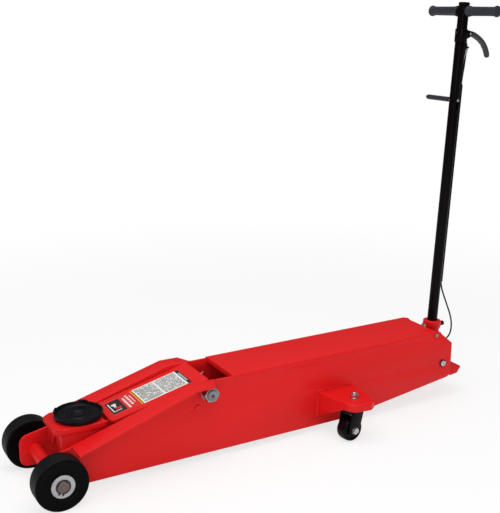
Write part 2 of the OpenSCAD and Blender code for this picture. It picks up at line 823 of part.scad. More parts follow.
module caster_fork() {
  top = fork_top_z - touch_gap;
  on_caster() {
    color(black) difference() {
      union() {
        translate([0, 0, top - fork_t]) cylinder(r = 30, h = fork_t);
        both_sides() slab(leg_in_y, leg_in_y + leg_t) polygon([
          [-26, top - fork_t + 1], [-caster_trail - 21, caster_r + 12],
          [-caster_trail - 20, caster_r - 8], [-caster_trail - 11, caster_r - 18],
          [-caster_trail + 11, caster_r - 18], [-caster_trail + 20, caster_r - 8],
          [-caster_trail + 24, caster_r + 12], [26, top - fork_t + 1]
        ]);
        translate([0, 0, top - fork_t - housing_len]) cylinder(r = housing_r, h = housing_len);
        both_sides() intersection() {
          translate([0, 0, top - fork_t - 14]) cylinder(r = 30, h = 15);
          translate([-30, leg_in_y, 0]) cube([60, leg_t, 200]);
        }
      }
      translate([0, 0, top - 20]) cylinder(r = stud_r + run_gap, h = 40);
      translate([0, 0, top - fork_t - 40]) cylinder(r = 15, h = 40);
      pin_y(-caster_trail, caster_r, caster_axle_r, -40, 40);
    }
    color(zinc) {
      pin_y(-caster_trail, caster_r, caster_axle_r, -leg_in_y - leg_t, leg_in_y + leg_t);
      both_sides() translate([-caster_trail, leg_in_y + leg_t, caster_r])
        rotate([-90, 0, 0]) hex(19, 7);
    }
  }
}

module caster_fork_left() { mirror([0, 1, 0]) caster_fork(); }

module caster_fork_right() { caster_fork(); }

module caster_wheel() {
  half = caster_w / 2;
  on_caster() color(black) translate([-caster_trail, 0, caster_r]) rotate([90, 0, 0])
    rotate_extrude() polygon([
      [caster_axle_r + run_gap, -half], [14, -half], [16, 4 - half],
      [caster_r - 9, 4 - half], [caster_r - 7, -half], [caster_r - 4, -half],
      [caster_r, 4 - half], [caster_r, half - 4], [caster_r - 4, half],
      [caster_r - 7, half], [caster_r - 9, half - 4], [16, half - 4], [14, half],
      [caster_axle_r + run_gap, half]
    ]);
}

module caster_wheel_left() { mirror([0, 1, 0]) caster_wheel(); }

module caster_wheel_right() { caster_wheel(); }

// ---- handle ----

socket_r = tube_r + 7;
socket_ring_r = tube_r + 13.5;

module handle_socket() {
  leg_in = 20;
  leg_out = 32;
  jack() color(red) difference() {
    union() {
      on_handle() {
        rotate_extrude() polygon([
          [0, socket_floor], [socket_r, socket_floor], [socket_r, socket_top - 36],
          [socket_ring_r, socket_top - 22], [socket_ring_r, socket_top - 2],
          [socket_ring_r - 2, socket_top], [0, socket_top]
        ]);
        translate([-20, -leg_out, socket_floor]) cube([40, 2 * leg_out, 24]);
      }
      both_sides() slab(leg_in, leg_out) {
        polygon([
          [hinge_x - 16, hinge_z + 10], [hinge_x - 3, hinge_z + 78], [hinge_x + 36, hinge_z + 76],
          [hinge_x + 20, hinge_z - 4]
        ]);
        bar([hinge_x, hinge_z], 19, [cam_x, cam_z], 10);
      }
    }
    on_handle() {
      translate([0, 0, tube_bottom]) cylinder(r = tube_r + run_gap, h = 200);
      translate([0, 0, 50]) cylinder(r = rod_r + 1, h = 60);
    }
    pin_y(hinge_x, hinge_z, hinge_r + run_gap, -50, 50);
    pin_y(cam_x, cam_z, 5, -50, 50);
    on_handle() pin_x(0, clamp_s, 5, -60, 60);
  }
}

clamp_s = 109;
rod_r = 4;

module clamp_bolt() {
  jack() on_handle() {
    color(zinc) difference() {
      pin_x(0, clamp_s, 5, -40, 42);
      translate([0, 0, tube_bottom]) cylinder(r = tube_r, h = 60);
    }
    color(black) pin_x(0, clamp_s, 8, 38, 50);
    color(zinc) translate([-40, 0, clamp_s]) rotate([0, 90, 0]) hex(15, 8);
  }
}

module handle_tube() {
  slot_half = 5;
  jack() color(black) on_handle() difference() {
    translate([0, 0, tube_bottom]) cylinder(r = tube_r, h = handle_len - tube_bottom);
    translate([0, 0, tube_bottom - 1]) cylinder(r = tube_r - tube_wall, h = handle_len);
    pin_y(0, t_bar_s, t_bar_d / 2, -20, 20);
    pin_x(0, clamp_s, 5.5, -20, 20);
    translate([-slot_half, -20, lock_s - lock_travel - 6])
      cube([2 * slot_half, 40, lock_travel + 12]);
  }
}

module cable_conduit() {
  conduit_r = 5;
  jack() color(black) on_handle() difference() {
    translate([conduit_x, 0, conduit_bottom])
      cylinder(r = conduit_r, h = conduit_top - conduit_bottom);
    translate([conduit_x, 0, conduit_bottom - 1])
      cylinder(r = cable_r + 0.3, h = conduit_top - conduit_bottom + 2);
  }
}

module t_bar() {
  jack() color(black) on_handle() difference() {
    pin_y(0, t_bar_s, t_bar_d / 2, -t_bar_w / 2 + 3, t_bar_w / 2 - 3);
    pin_y(0, t_bar_s, t_bar_d / 2 - 2.5, -t_bar_w, t_bar_w);
  }
}

module hand_grips() {
  end = t_bar_w / 2;
  bar_r = t_bar_d / 2;
  jack() color(black) on_handle() both_sides() translate([0, end, t_bar_s])
    rotate([90, 0, 0]) rotate_extrude() polygon([
      [0, 0], [grip_d / 2 + 1, 0], [grip_d / 2 + 2, 2], [grip_d / 2, 8],
      [grip_d / 2 - 2, 14], [grip_d / 2 - 2, grip_len - 10], [grip_d / 2 + 2, grip_len - 4],
      [grip_d / 2 + 2, grip_len], [bar_r, grip_len], [bar_r, 3], [0, 3]
    ]);
}

module tube_cap() {
  jack() color(black) on_handle() translate([0, 0, handle_len]) rotate_extrude() polygon([
    [0, -8], [tube_r - tube_wall, -8], [tube_r - tube_wall, 0], [tube_r + 1, 0],
    [tube_r + 1, 3], [tube_r - 2, 6], [0, 6]
  ]);
}

module cam_roller() {
  jack() color(steel) {
    pin_y(cam_x, cam_z, cam_r, -19, 19);
    pin_y(cam_x, cam_z, 5, -34, 34);
  }
}

ear_in = 11.5;
ear_t = 3;

module lever_bracket() {
  jack() color(black) on_handle() difference() {
    union() {
      translate([0, 0, lever_s - 28]) cylinder(r = tube_r + 3, h = 42);
      both_sides() slab(ear_in, ear_in + ear_t) polygon([
        [0, lever_s - 24], [lever_x, lever_s - 10], [lever_x + 9, lever_s - 2],
        [lever_x + 7, lever_s + 8], [lever_x - 4, lever_s + 10], [0, lever_s + 12]
      ]);
      translate([tube_r, -8, lever_s - 46]) cube([16, 16, 5]);
      translate([tube_r, -8, lever_s - 46]) cube([4, 16, 24]);
    }
    translate([0, 0, lever_s - 60]) cylinder(r = tube_r, h = 90);
    pin_y(lever_x, lever_s, 3, -20, 20);
    translate([adjuster_x, 0, lever_s - 60]) cylinder(r = 3, h = 30);
  }
}

adjuster_x = tube_r + 10;

module cable_adjuster() {
  jack() on_handle() {
    color(zinc) difference() {
      translate([adjuster_x, 0, 0]) {
        translate([0, 0, lever_s - 60]) cylinder(r = 5, h = 14);
        translate([0, 0, lever_s - 46]) cylinder(r = 3, h = 12);
      }
      translate([adjuster_x, 0, lever_s - 61]) cylinder(r = 1.5, h = 40);
    }
    color(black) cable_tube([
      [adjuster_x, lever_s - 60], [adjuster_x, lever_s - 78], [adjuster_x - 1, lever_s - 100],
      [adjuster_x - 4, conduit_top + 32], [conduit_x, conduit_top + 12],
      [conduit_x, conduit_top]
    ]);
  }
}

// Round cable through points in the plane of the handle
module cable_tube(points) {
  sweep([for (p = points) [p[0], 0, p[1]]], cable_r, 8);
}

// Tube swept along a list of points that stay near the plane of the handle
module sweep(route, r, sides) {
  last = len(route) - 1;
  tangents = [for (i = [0:last])
    let (d = route[min(i + 1, last)] - route[max(i - 1, 0)]) d / norm(d)];
  rings = [for (i = [0:last])
    let (t = tangents[i], u0 = cross([0, 1, 0], t), u = u0 / norm(u0), v = cross(t, u))
      for (k = [0:sides - 1]) route[i] + r * (cos(360 * k / sides) * u + sin(360 * k / sides) * v)];
  side_faces = [for (i = [0:last - 1]) for (k = [0:sides - 1])
    let (n = (k + 1) % sides) [i * sides + k, (i + 1) * sides + k, (i + 1) * sides + n,
                               i * sides + n]];
  first_cap = [for (k = [0:sides - 1]) k];
  last_cap = [for (k = [0:sides - 1]) last * sides + sides - 1 - k];
  polyhedron(rings, concat([first_cap], side_faces, [last_cap]));
}

module squeeze_lever() {
  half_w = 11;
  jack() on_handle() {
    color("#3a3a3d") difference() {
      slab(-half_w, half_w) polygon(concat(
        arc(lever_x, lever_s, lever_hub, 200, 60, 8),
        [[lever_x + 26, lever_s + 5], [lever_x + 56, lever_s - 6],
         [tip_x - 16, lever_s - 26]],
        arc(tip_x, lever_s - tip_drop, tip_r, 40, -140, 8),
        [[tip_x - 26, lever_s - 34], [lever_x + 48, lever_s - 20],
         [lever_x + 26, lever_s - 9], [lever_x + 12, lever_s - 12]]
      ));
      pin_y(lever_x, lever_s, 3 + run_gap, -20, 20);
    }
  }
}

module lock_lever() {
  jack() color(zinc) on_handle() {
    difference() {
      translate([0, 0, lock_s - 9]) cylinder(r = 8, h = 18);
      pin_y(0, lock_s, 4.5, -20, 20);
    }
    pin_y(0, lock_s, 4.5, -tube_r - 1, lock_reach - 6);
  }
}

module lock_grip() {
  jack() color(black) on_handle() difference() {
    pin_y(0, lock_s, 8, 28, lock_reach);
    pin_y(0, lock_s, 4.5, 20, lock_reach - 6);
  }
}

module lock_rod() {
  jack() color(zinc) on_handle()
    translate([0, 0, socket_floor + 2]) cylinder(r = rod_r, h = lock_s - 9 - socket_floor - 2);
}

module release_lever() {
  jack() color(zinc) difference() {
    slab(valve_y, valve_y + 6) {
      bar([lever_pin_x, lever_pin_z], 8, [lever_pin_x, lever_pin_z + 26], 6);
      bar([lever_pin_x, lever_pin_z], 8, [lever_pin_x, lever_pin_z - 24], 5.5);
    }
    pin_y(lever_pin_x, lever_pin_z, 3 + run_gap, valve_y - 5, valve_y + 10);
    pin_y(lever_pin_x, lever_pin_z + 26, 2, valve_y - 5, valve_y + 10);
  }
}

module release_cable() {
  jack() translate([hinge_x, 0, 0]) color(black) sweep(cable_route, cable_r, 8);
}

module return_springs() {
  spring_y = link_out_y - 4;
  jack() color(steel) both_sides() difference() {
    pin_x(spring_y, crank_z, 9, crank_x + crank_pin_r + 0.5,
          spring_stub_x - spring_stub_r - 0.5);
    pin_x(spring_y, crank_z, 6, crank_x, spring_stub_x);
  }
}

side_plate_left();
side_plate_right();
top_cover();
belly_plate();
cross_ties();
front_axle();
wheel_retainers();
arm_pivot_shaft();
pivot_fasteners();
link_anchor_pins();
cover_screws();
handle_pivot_bolt();
caster_bracket_left();
caster_bracket_right();
caster_studs();
pump_block();
cylinder_tube();
reservoir_shell();
release_valve();
lock_quadrant();
cable_anchor();
arm_cheeks();
arm_top_plate();
arm_cross_tubes();
crank_pin();
head_pin();
arm_bushes();
grease_nipple();
arm_label();
saddle_bracket();
link_front_pin();
saddle();
levelling_links();
ram_yoke();
ram_rod();
pump_plunger();
pump_spring();
front_wheel_left();
front_wheel_right();
caster_fork_left();
caster_fork_right();
caster_wheel_left();
caster_wheel_right();
handle_socket();
clamp_bolt();
handle_tube();
cable_conduit();
t_bar();
hand_grips();
tube_cap();
cam_roller();
lever_bracket();
cable_adjuster();
squeeze_lever();
lock_lever();
lock_grip();
lock_rod();
release_lever();
release_cable();
return_springs();
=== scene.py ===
import bpy, bmesh, math
from mathutils import Matrix, Vector


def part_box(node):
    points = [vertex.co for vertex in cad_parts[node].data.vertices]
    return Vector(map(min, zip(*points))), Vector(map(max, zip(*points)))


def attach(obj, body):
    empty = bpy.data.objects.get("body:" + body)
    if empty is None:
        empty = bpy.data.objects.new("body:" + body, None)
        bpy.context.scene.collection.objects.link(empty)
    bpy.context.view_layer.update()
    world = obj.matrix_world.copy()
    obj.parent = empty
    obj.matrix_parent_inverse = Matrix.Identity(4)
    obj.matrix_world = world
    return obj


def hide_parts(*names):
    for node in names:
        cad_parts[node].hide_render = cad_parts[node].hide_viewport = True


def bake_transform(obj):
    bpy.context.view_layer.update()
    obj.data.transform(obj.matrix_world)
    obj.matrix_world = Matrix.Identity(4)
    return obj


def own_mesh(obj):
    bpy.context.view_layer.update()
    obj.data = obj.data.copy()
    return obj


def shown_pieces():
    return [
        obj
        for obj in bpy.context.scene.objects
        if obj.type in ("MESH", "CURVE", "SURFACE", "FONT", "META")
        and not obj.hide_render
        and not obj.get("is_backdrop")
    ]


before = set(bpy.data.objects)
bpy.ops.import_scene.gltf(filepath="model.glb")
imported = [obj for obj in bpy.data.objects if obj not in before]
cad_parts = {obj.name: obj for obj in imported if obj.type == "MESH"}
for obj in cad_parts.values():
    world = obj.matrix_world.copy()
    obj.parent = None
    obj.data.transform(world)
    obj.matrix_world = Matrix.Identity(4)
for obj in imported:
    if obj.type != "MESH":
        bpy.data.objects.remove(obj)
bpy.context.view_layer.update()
scene = bpy.context.scene
scene.view_settings.view_transform = "Standard"
print("frame loaded:", len(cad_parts), "nodes")

# the jack's own frame: millimetres, stations from the front axle
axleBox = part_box("front_axle")
handleSeat = {"x": 1375.3, "z": 134.0, "lean": 3.45}  # foot of the leaning handle
casterSeat = {"x": 932.0, "y": 180.0, "yaw": 8.0, "trail": 18.0}
sides = ((-1, "Left"), (1, "Right"))
plateFace = 88.0  # outer face of both side plates


def moved(x, y, z):
    return Matrix.Translation((x, y, z))


def spun(degrees, axis):
    return Matrix.Rotation(math.radians(degrees), 4, axis)


def around(radius, degrees):  # a spot on a ring
    return radius * math.cos(math.radians(degrees)), radius * math.sin(math.radians(degrees))


jackFrame = moved((axleBox[0].x + axleBox[1].x) / 2, 0, 0) @ Matrix.Scale(0.001, 4)
handleFrame = jackFrame @ moved(handleSeat["x"], 0, handleSeat["z"]) @ spun(handleSeat["lean"], "Y")
acrossFrame = jackFrame @ Matrix(((0, 0, 1, 0), (1, 0, 0, 0), (0, 1, 0, 0), (0, 0, 0, 1)))  # outlines in y and z
uprightFrame = jackFrame @ spun(90, "X")  # outlines in x and z


def onJack(x, y, z):
    return jackFrame @ Vector((x, y, z))


def onHandle(x, y, s):
    return handleFrame @ Vector((x, y, s))


def casterFrame(side):
    return jackFrame @ moved(casterSeat["x"], side * casterSeat["y"], 0) @ spun(-side * casterSeat["yaw"], "Z")


def outward(x, y, z, side, base=jackFrame):  # local Z points out of the jack's side
    return base @ moved(x, y, z) @ spun(-90 * side, "X")


def inScene(name, data):
    thing = bpy.data.objects.new(name, data)
    scene.collection.objects.link(thing)
    return thing


# camera
cameraSet = {"place": (-1.4063, -2.3623, 1.3116), "tilt": 74.882, "turn": -29.301, "lens": 65.72, "film": 36, "far": 50}
camera = inScene("camera", bpy.data.cameras.new("camera"))
camera.data.lens, camera.data.sensor_width, camera.data.clip_end = (cameraSet[key] for key in ("lens", "film", "far"))
camera.location = cameraSet["place"]
camera.rotation_euler = (math.radians(cameraSet["tilt"]), 0, math.radians(cameraSet["turn"]))
scene.camera = camera


# node trees
def bothWays(operation):  # an operator and its reflected form
    return (lambda self, other: self.sum(operation, self, other),
            lambda self, other: self.sum(operation, other, self))


class Wire:  # one socket of a tree, so that shader maths reads as maths
    def __init__(self, bench, socket):
        self.bench, self.socket = bench, socket

    def out(self, key):
        return Wire(self.bench, self.socket.node.outputs[key])

    def sum(self, operation, *values):  # one Math node
        return self.bench.add("ShaderNodeMath", {"operation": operation}, dict(enumerate(values)))

    __add__, __radd__ = bothWays("ADD")
    __sub__, __rsub__ = bothWays("SUBTRACT")
    __mul__, __rmul__ = bothWays("MULTIPLY")
    __truediv__, __rtruediv__ = bothWays("DIVIDE")
    __gt__, __lt__ = bothWays("GREATER_THAN")


class Bench:  # a node tree that is being built
    def __init__(self, tree):
        self.tree = tree

    def add(self, kind, settings=None, sockets=None, out=0):
        node = self.tree.nodes.new(kind)
        for key, value in (settings or {}).items():
            if key == "stops":
                ramp = node.color_ramp
                ramp.elements.remove(ramp.elements[1])
                for i, (place, tone) in enumerate(value):
                    stop = ramp.elements[0] if i == 0 else ramp.elements.new(place)
                    stop.position, stop.color = place, (tone, tone, tone, 1)
            else:
                setattr(node, key, value)
        for key, value in (sockets or {}).items():
            if isinstance(value, Wire):
                self.tree.links.new(value.socket, node.inputs[key])
            else:
                node.inputs[key].default_value = value
        return Wire(self, node.outputs[out])

    def noise(self, place, size, detail, rough=0.5):
        return self.add("ShaderNodeTexNoise", {}, {
            "Vector": place, "Scale": size, "Detail": detail, "Roughness": rough})

    def mixed(self, share, first, second):  # colours
        return self.add("ShaderNodeMix", {"data_type": "RGBA"}, {0: share, 6: first, 7: second}, out=2)


# finishes, each stored with a slot name
finishes = {}


def newFinish(name, fixed):
    material = bpy.data.materials.new(name)
    material.use_nodes = True
    shader = material.node_tree.nodes["Principled BSDF"]
    for key, value in fixed.items():
        shader.inputs[key].default_value = value
    return material, Bench(material.node_tree), shader


def keepFinish(slotName, made, colour, rough, bump):  # bump: strength, distance and height
    material, bench, shader = made
    normal = bench.add("ShaderNodeBump", {}, dict(zip(("Strength", "Distance", "Height"), bump)))
    for key, wire in (("Base Color", colour), ("Roughness", rough), ("Normal", normal)):
        bench.tree.links.new(wire.socket, shader.inputs[key])
    finishes[material.name] = (material, slotName)


def surface(name, slotName, colour, tint, patch, grain, rough, spread, bump, more):
    made = newFinish(name, {
        "Metallic": more.get("metal", 0.0), "Coat Weight": more.get("coat", 0.0),
        "Coat Roughness": more.get("coatRough", 0.08), "Specular IOR Level": more.get("shine", 0.5)})
    bench = made[1]
    here = bench.add("ShaderNodeTexCoord", out="Object")
    if "stretch" in more:  # brushed or drawn along one axis
        here = bench.add("ShaderNodeMapping", {}, {"Vector": here, "Scale": more["stretch"]})
    patches, grains = bench.noise(here, patch, 4.0, 0.62), bench.noise(here, grain, 2.0)
    share = bench.add("ShaderNodeValToRGB", {"stops": [(0.32, 0.0), (0.7, 1.0)]}, {"Fac": patches})
    height = grains
    if "pits" in more:  # cast skin
        height = grains + 0.8 * bench.add("ShaderNodeTexVoronoi", {"feature": "SMOOTH_F1"}, {
            "Vector": here, "Scale": more["pits"]})
    keepFinish(slotName, made, bench.mixed(share, (*colour, 1), (*tint, 1)),
               rough + spread * (patches - 0.5) + 0.5 * spread * (grains - 0.5),
               (bump, more.get("depth", 0.0004), height))


def turnedMetal(name, slotName, centre, pitch, colour, tint):  # fine rings round an axle's own line
    made = newFinish(name, {"Metallic": 1.0})
    bench = made[1]
    here = bench.add("ShaderNodeTexCoord", out="Object")
    here = bench.add("ShaderNodeMapping", {"vector_type": "POINT"}, {"Vector": here, "Location": -centre})
    rings = bench.add("ShaderNodeTexWave", {"wave_type": "RINGS", "rings_direction": "Y"}, {
        "Vector": here, "Scale": pitch, "Distortion": 0.6, "Detail": 1.0})
    stain = bench.noise(here, 55.0, 4.0)
    keepFinish(slotName, made, bench.mixed(stain, (*colour, 1), (*tint, 1)), 0.3 + 0.12 * rings + 0.14 * stain,
               (0.12, 0.0003, rings))


looks = {  # slot, colour, tint, scale of the patches, scale of the grain, roughness, its spread, bump, the rest
    "redPaint": ("red_paint", (0.74, 0.0115, 0.0125), (0.70, 0.0095, 0.0105), 2.6, 420.0, 0.36, 0.10, 0.08,
        {"depth": 0.0003, "coat": 0.04, "coatRough": 0.16, "shine": 0.14}),
    "redWeld": ("red_paint", (0.70, 0.010, 0.012), (0.60, 0.006, 0.008), 30.0, 700.0, 0.36, 0.12, 0.25,
        {"shine": 0.3}),
    "blackPaint": ("black_paint", (0.0028, 0.0020, 0.0025), (0.0040, 0.0032, 0.0036), 5.0, 520.0, 0.26, 0.12,
        0.10, {"shine": 0.06}),
    "gripRubber": ("black_rubber", (0.020, 0.022, 0.031), (0.028, 0.030, 0.040), 22.0, 1500.0, 0.50, 0.14, 0.30,
        {"shine": 0.3}),
    "treadBlack": ("wheel_black", (0.0048, 0.0042, 0.0055), (0.0075, 0.0068, 0.0082), 26.0, 900.0, 0.56, 0.2,
        0.35, {"shine": 0.12}),
    "wheelFace": ("wheel_black", (0.0022, 0.0018, 0.0022), (0.0036, 0.0030, 0.0036), 18.0, 700.0, 0.42, 0.16,
        0.16, {"shine": 0.04}),
    "casterBlack": ("black_paint", (0.0024, 0.0020, 0.0028), (0.0038, 0.0034, 0.0044), 30.0, 800.0, 0.26, 0.14,
        0.08, {"shine": 0.10}),
    "saddleIron": ("saddle_black", (0.0038, 0.0038, 0.0052), (0.0065, 0.0066, 0.0095), 36.0, 650.0, 0.34, 0.18,
        0.24, {"depth": 0.0005, "shine": 0.12, "pits": 420.0}),
    "leverIron": ("lever_grey", (0.030, 0.030, 0.040), (0.044, 0.043, 0.054), 40.0, 900.0, 0.46, 0.2, 0.4,
        {"shine": 0.4, "pits": 700.0}),
    "zincPlate": ("zinc", (0.62, 0.63, 0.66), (0.52, 0.52, 0.50), 90.0, 1400.0, 0.28, 0.2, 0.12, {"metal": 1.0}),
    "nutSteel": ("zinc", (0.36, 0.36, 0.38), (0.25, 0.25, 0.25), 70.0, 1200.0, 0.32, 0.2, 0.14, {"metal": 1.0}),
    "washerGrey": ("zinc", (0.48, 0.48, 0.50), (0.38, 0.38, 0.40), 60.0, 1200.0, 0.42, 0.2, 0.2, {"metal": 0.6}),
    "darkSteel": ("steel", (0.022, 0.022, 0.026), (0.04, 0.038, 0.038), 80.0, 900.0, 0.42, 0.2, 0.2,
        {"metal": 0.6}),
    "drawnSteel": ("steel", (0.45, 0.44, 0.43), (0.34, 0.33, 0.32), 8.0, 120.0, 0.30, 0.22, 0.06,
        {"metal": 1.0, "stretch": (6.0, 1.0, 6.0)}),
    "greySteel": ("steel", (0.22, 0.22, 0.23), (0.15, 0.15, 0.15), 24.0, 500.0, 0.44, 0.2, 0.2, {"metal": 0.9}),
    "bushBronze": ("bronze", (0.42, 0.26, 0.10), (0.33, 0.19, 0.07), 60.0, 900.0, 0.36, 0.2, 0.12, {"metal": 1.0}),
    "cableBlack": ("black_plastic", (0.0040, 0.0040, 0.0048), (0.0062, 0.0062, 0.0070), 60.0, 900.0, 0.38,
        0.16, 0.12, {"shine": 0.3}),
}
for name, look in looks.items():
    surface(name, *look)
axleLine, pivotLine = (0, 0, 75), (474, 0, 215)
turnedMetal("axleSteel", "steel", onJack(*axleLine), 240.0, (0.19, 0.155, 0.14), (0.11, 0.09, 0.08))
turnedMetal("pivotSteel", "steel", onJack(*pivotLine), 300.0, (0.34, 0.34, 0.36), (0.22, 0.22, 0.24))


def labelFinish():  # blocks, bars and stripes only, in the label's own u along the arm and v across it
    made = newFinish("armLabelPrint", {"Coat Weight": 0.25, "Coat Roughness": 0.1})
    bench = made[1]
    spot = bench.add("ShaderNodeSeparateXYZ", {}, {0: bench.add("ShaderNodeTexCoord", out="UV")})
    u, v = spot.out("X"), spot.out("Y")

    def box(low, high, left=0.0, right=1.0):
        return (u > low) * (u < high) * ((v > left) * (v < right))

    def dashes(wire, fill):
        return wire.sum("FRACT", wire) < fill

    def rows(pitch, fill, seed, share):  # ragged rows of short strokes across the label
        cell = {0: u.sum("FLOOR", u / pitch) + seed, 1: v.sum("FLOOR", v * 26.0)}
        place = bench.add("ShaderNodeCombineXYZ", {}, cell)
        words = bench.add("ShaderNodeTexWhiteNoise", {"noise_dimensions": "2D"}, {"Vector": place}, out="Value")
        return dashes(u / pitch, fill) * (words < share)

    red, black, white = (0.72, 0.011, 0.013, 1), (0.012, 0.012, 0.013, 1), (0.80, 0.80, 0.78, 1)
    amber, grey = (0.85, 0.42, 0.02, 1), (0.14, 0.14, 0.14, 1)
    layers = [
        (box(0.012, 0.185, 0.12, 0.90), black),
        (box(0.032, 0.045, 0.24, 0.82), white), (box(0.045, 0.135, 0.24, 0.275), white),
        (box(0.062, 0.118, 0.60, 0.70), white), (box(0.078, 0.105, 0.48, 0.60), white),
        (box(0.080, 0.150, 0.33, 0.45), red),
        (box(0.215, 0.240, 0.14, 0.80) * dashes(v * 8.0, 0.72), white),
        (box(0.262, 0.287, 0.22, 0.88) * dashes(v * 7.0 + 0.3, 0.70), white),
        (box(0.307, 0.320, 0.30, 0.80) * dashes(v * 12.0, 0.66), white),
        (box(0.352, 0.364), amber), (box(0.364, 0.374), black), (box(0.374, 0.382), amber),
        (box(0.382, 0.955), white), (box(0.395, 0.64, 0.05, 0.95) * rows(0.0155, 0.62, 3.0, 0.86), grey),
        (box(0.665, 0.93, 0.05, 0.95) * rows(0.0135, 0.60, 8.0, 0.82), grey), (box(0.955, 1.0), black),
        (box(0.968, 0.986, 0.2, 0.8) * dashes(v * 12.0, 0.6), white)]
    colour = red
    for mask, tone in layers:
        colour = bench.mixed(mask, colour, tone)
    film = bench.noise(bench.add("ShaderNodeTexCoord", out="Object"), 300.0, 2.0)
    keepFinish("label", made, colour, 0.32 + 0.1 * film, (0.08, 0.0002, film))


labelFinish()
print("finishes made:", len(finishes))


# shaping
def newPiece(name, points, faces, place=None, uvs=None):
    mesh = bpy.data.meshes.new(name)
    mesh.from_pydata([tuple(p) for p in points], [], faces)
    if uvs:
        layer = mesh.uv_layers.new(name="UVMap")
        for loop in mesh.loops:
            layer.data[loop.index].uv = uvs[loop.vertex_index]
    if place is not None:
        mesh.transform(place)
    return inScene(name, mesh)


def fromShape(name, shape):
    mesh = bpy.data.meshes.new(name)
    shape.to_mesh(mesh)
    shape.free()
    return inScene(name, mesh)


def tidied(piece, merge=0.00001):  # one skin, faces pointing out
    shape = bmesh.new()
    shape.from_mesh(piece.data)
    bmesh.ops.remove_doubles(shape, verts=shape.verts, dist=merge)
    bmesh.ops.dissolve_degenerate(shape, dist=merge / 4, edges=shape.edges)
    bmesh.ops.recalc_face_normals(shape, faces=shape.faces)
    shape.to_mesh(piece.data)
    shape.free()
    return piece


def baked(piece):  # modifiers become plain mesh
    view = bpy.context.evaluated_depsgraph_get()
    mesh = bpy.data.meshes.new_from_object(piece.evaluated_get(view), preserve_all_data_layers=True, depsgraph=view)
    piece.modifiers.clear()
    piece.data = mesh
    return piece


def softened(piece, width, segments=3, limit=32.0):  # small radius on the sharp edges, width in millimetres
    piece.data.shade_smooth()
    bevel = piece.modifiers.new("radius", "BEVEL")
    bevel.width, bevel.segments, bevel.limit_method = width / 1000, segments, "ANGLE"
    bevel.angle_limit, bevel.harden_normals = math.radians(limit), True
    bevel.use_clamp_overlap, bevel.miter_outer = False, "MITER_ARC"
    return baked(piece)


def smoothed(piece, angle=35.0):
    piece.data.shade_smooth()
    piece.data.set_sharp_from_angle(angle=math.radians(angle))
    return piece


def joined(name, pieces):  # several meshes as one piece
    shape = bmesh.new()
    for piece in pieces:
        spent = piece.data
        shape.from_mesh(spent)
        bpy.data.objects.remove(piece)
        bpy.data.meshes.remove(spent)
    return fromShape(name, shape)


def fitted(piece, body, finish, node=None, slotName=None):  # gives a piece its finish and body, and hides the CAD node it stands for
    chosen = [finishes[name] for name in finish.split()]
    piece.data.materials.clear()
    for material, slotOf in chosen:
        piece.data.materials.append(material)
        slotName = slotName or slotOf
    if body:
        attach(piece, body)
    if node:
        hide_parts(node)
    return piece


def assembled(name, pieces, angle, *fitting):
    return fitted(smoothed(joined(name, pieces), angle), *fitting)


def stitched(rows, count, wrap=False):  # faces between rows of points, each row a closed ring
    return [(j * count + i, j * count + (i + 1) % count, (j + 1) % rows * count + (i + 1) % count,
             (j + 1) % rows * count + i) for j in range(rows if wrap else rows - 1) for i in range(count)]


def lofted(name, rings, place, uvs=None):
    count, last = len(rings[0]), (len(rings) - 1) * len(rings[0])
    caps = [tuple(range(count - 1, -1, -1)), tuple(range(last, last + count))]
    return tidied(newPiece(name, sum(rings, []), stitched(len(rings), count) + caps, place, uvs))


def turned(name, profile, steps=72, place=None):
    # profile: (radius, z) round, (half across flats, z, sides) for flats, and a fourth number that chamfers the corners
    points = []
    for size, z, *flats in profile:
        sideCount, slope = (flats + [0, 0])[:2]
        for i in range(steps):
            angle, reach = 2 * math.pi * i / steps, size
            if sideCount:
                reach = size / math.cos(angle % (2 * math.pi / sideCount) - math.pi / sideCount)
            points.append((reach * math.cos(angle), reach * math.sin(angle), z + slope * (reach - 0.95 * size)))
    return tidied(newPiece(name, points, stitched(len(profile), steps, True), place))


def nutProfile(across, height, bore, base=0.0, chamfer=0.5):
    a, top = across / 2, base + height
    return [(bore, base), (0.93 * a, base), (a, base, 6, chamfer), (a, top, 6, -chamfer), (0.93 * a, top),
            (bore + 0.8, top), (bore, top - 0.8)]


def headProfile(radius, height, keyHalf, base=0.0):  # round head with a hexagon socket
    top = base + height
    return [(0, base), (radius, base), (radius, top - 1.2), (radius - 0.4, top - 0.4), (radius - 1.3, top),
            (keyHalf * 1.2, top), (keyHalf, top - 0.5, 6), (keyHalf, top - 0.55 * height, 6),
            (0, top - 0.6 * height)]


def rodProfile(radius, low, high):
    return [(0, low), (radius, low), (radius, high), (0, high)]


def ringProfile(inner, outer, low, high, edge=0.5):
    return [(inner, low), (outer - edge, low), (outer, low + edge), (outer, high - edge), (outer - edge, high),
            (inner + edge, high), (inner, high - edge)]


def filleted(points, radii, steps=8, closed=True):  # outline with rounded corners
    made, count = [], len(points)
    for i, (point, radius) in enumerate(zip(points, radii)):
        here = Vector(point)
        if radius <= 0 or (not closed and i in (0, count - 1)):
            made.append(here)
            continue
        before, after = Vector(points[i - 1]) - here, Vector(points[(i + 1) % count]) - here
        before.normalize(), after.normalize()
        half = math.acos(max(-1, min(1, before.dot(after)))) / 2
        reach, centre = radius / math.tan(half), here + (before + after).normalized() * radius / math.sin(half)
        start, end = here + before * reach - centre, here + after * reach - centre
        sweep = start.angle_signed(end)
        for k in range(steps + 1):
            angle = -sweep * k / steps
            made.append(centre + Vector((start.x * math.cos(angle) - start.y * math.sin(angle),
                                         start.x * math.sin(angle) + start.y * math.cos(angle))))
    return made


def prism(name, outline, low, high, place):  # low and high are heights or functions of x
    rings = [[(p[0], p[1], level(p[0]) if callable(level) else level) for p in outline] for level in (low, high)]
    return lofted(name, rings, place)


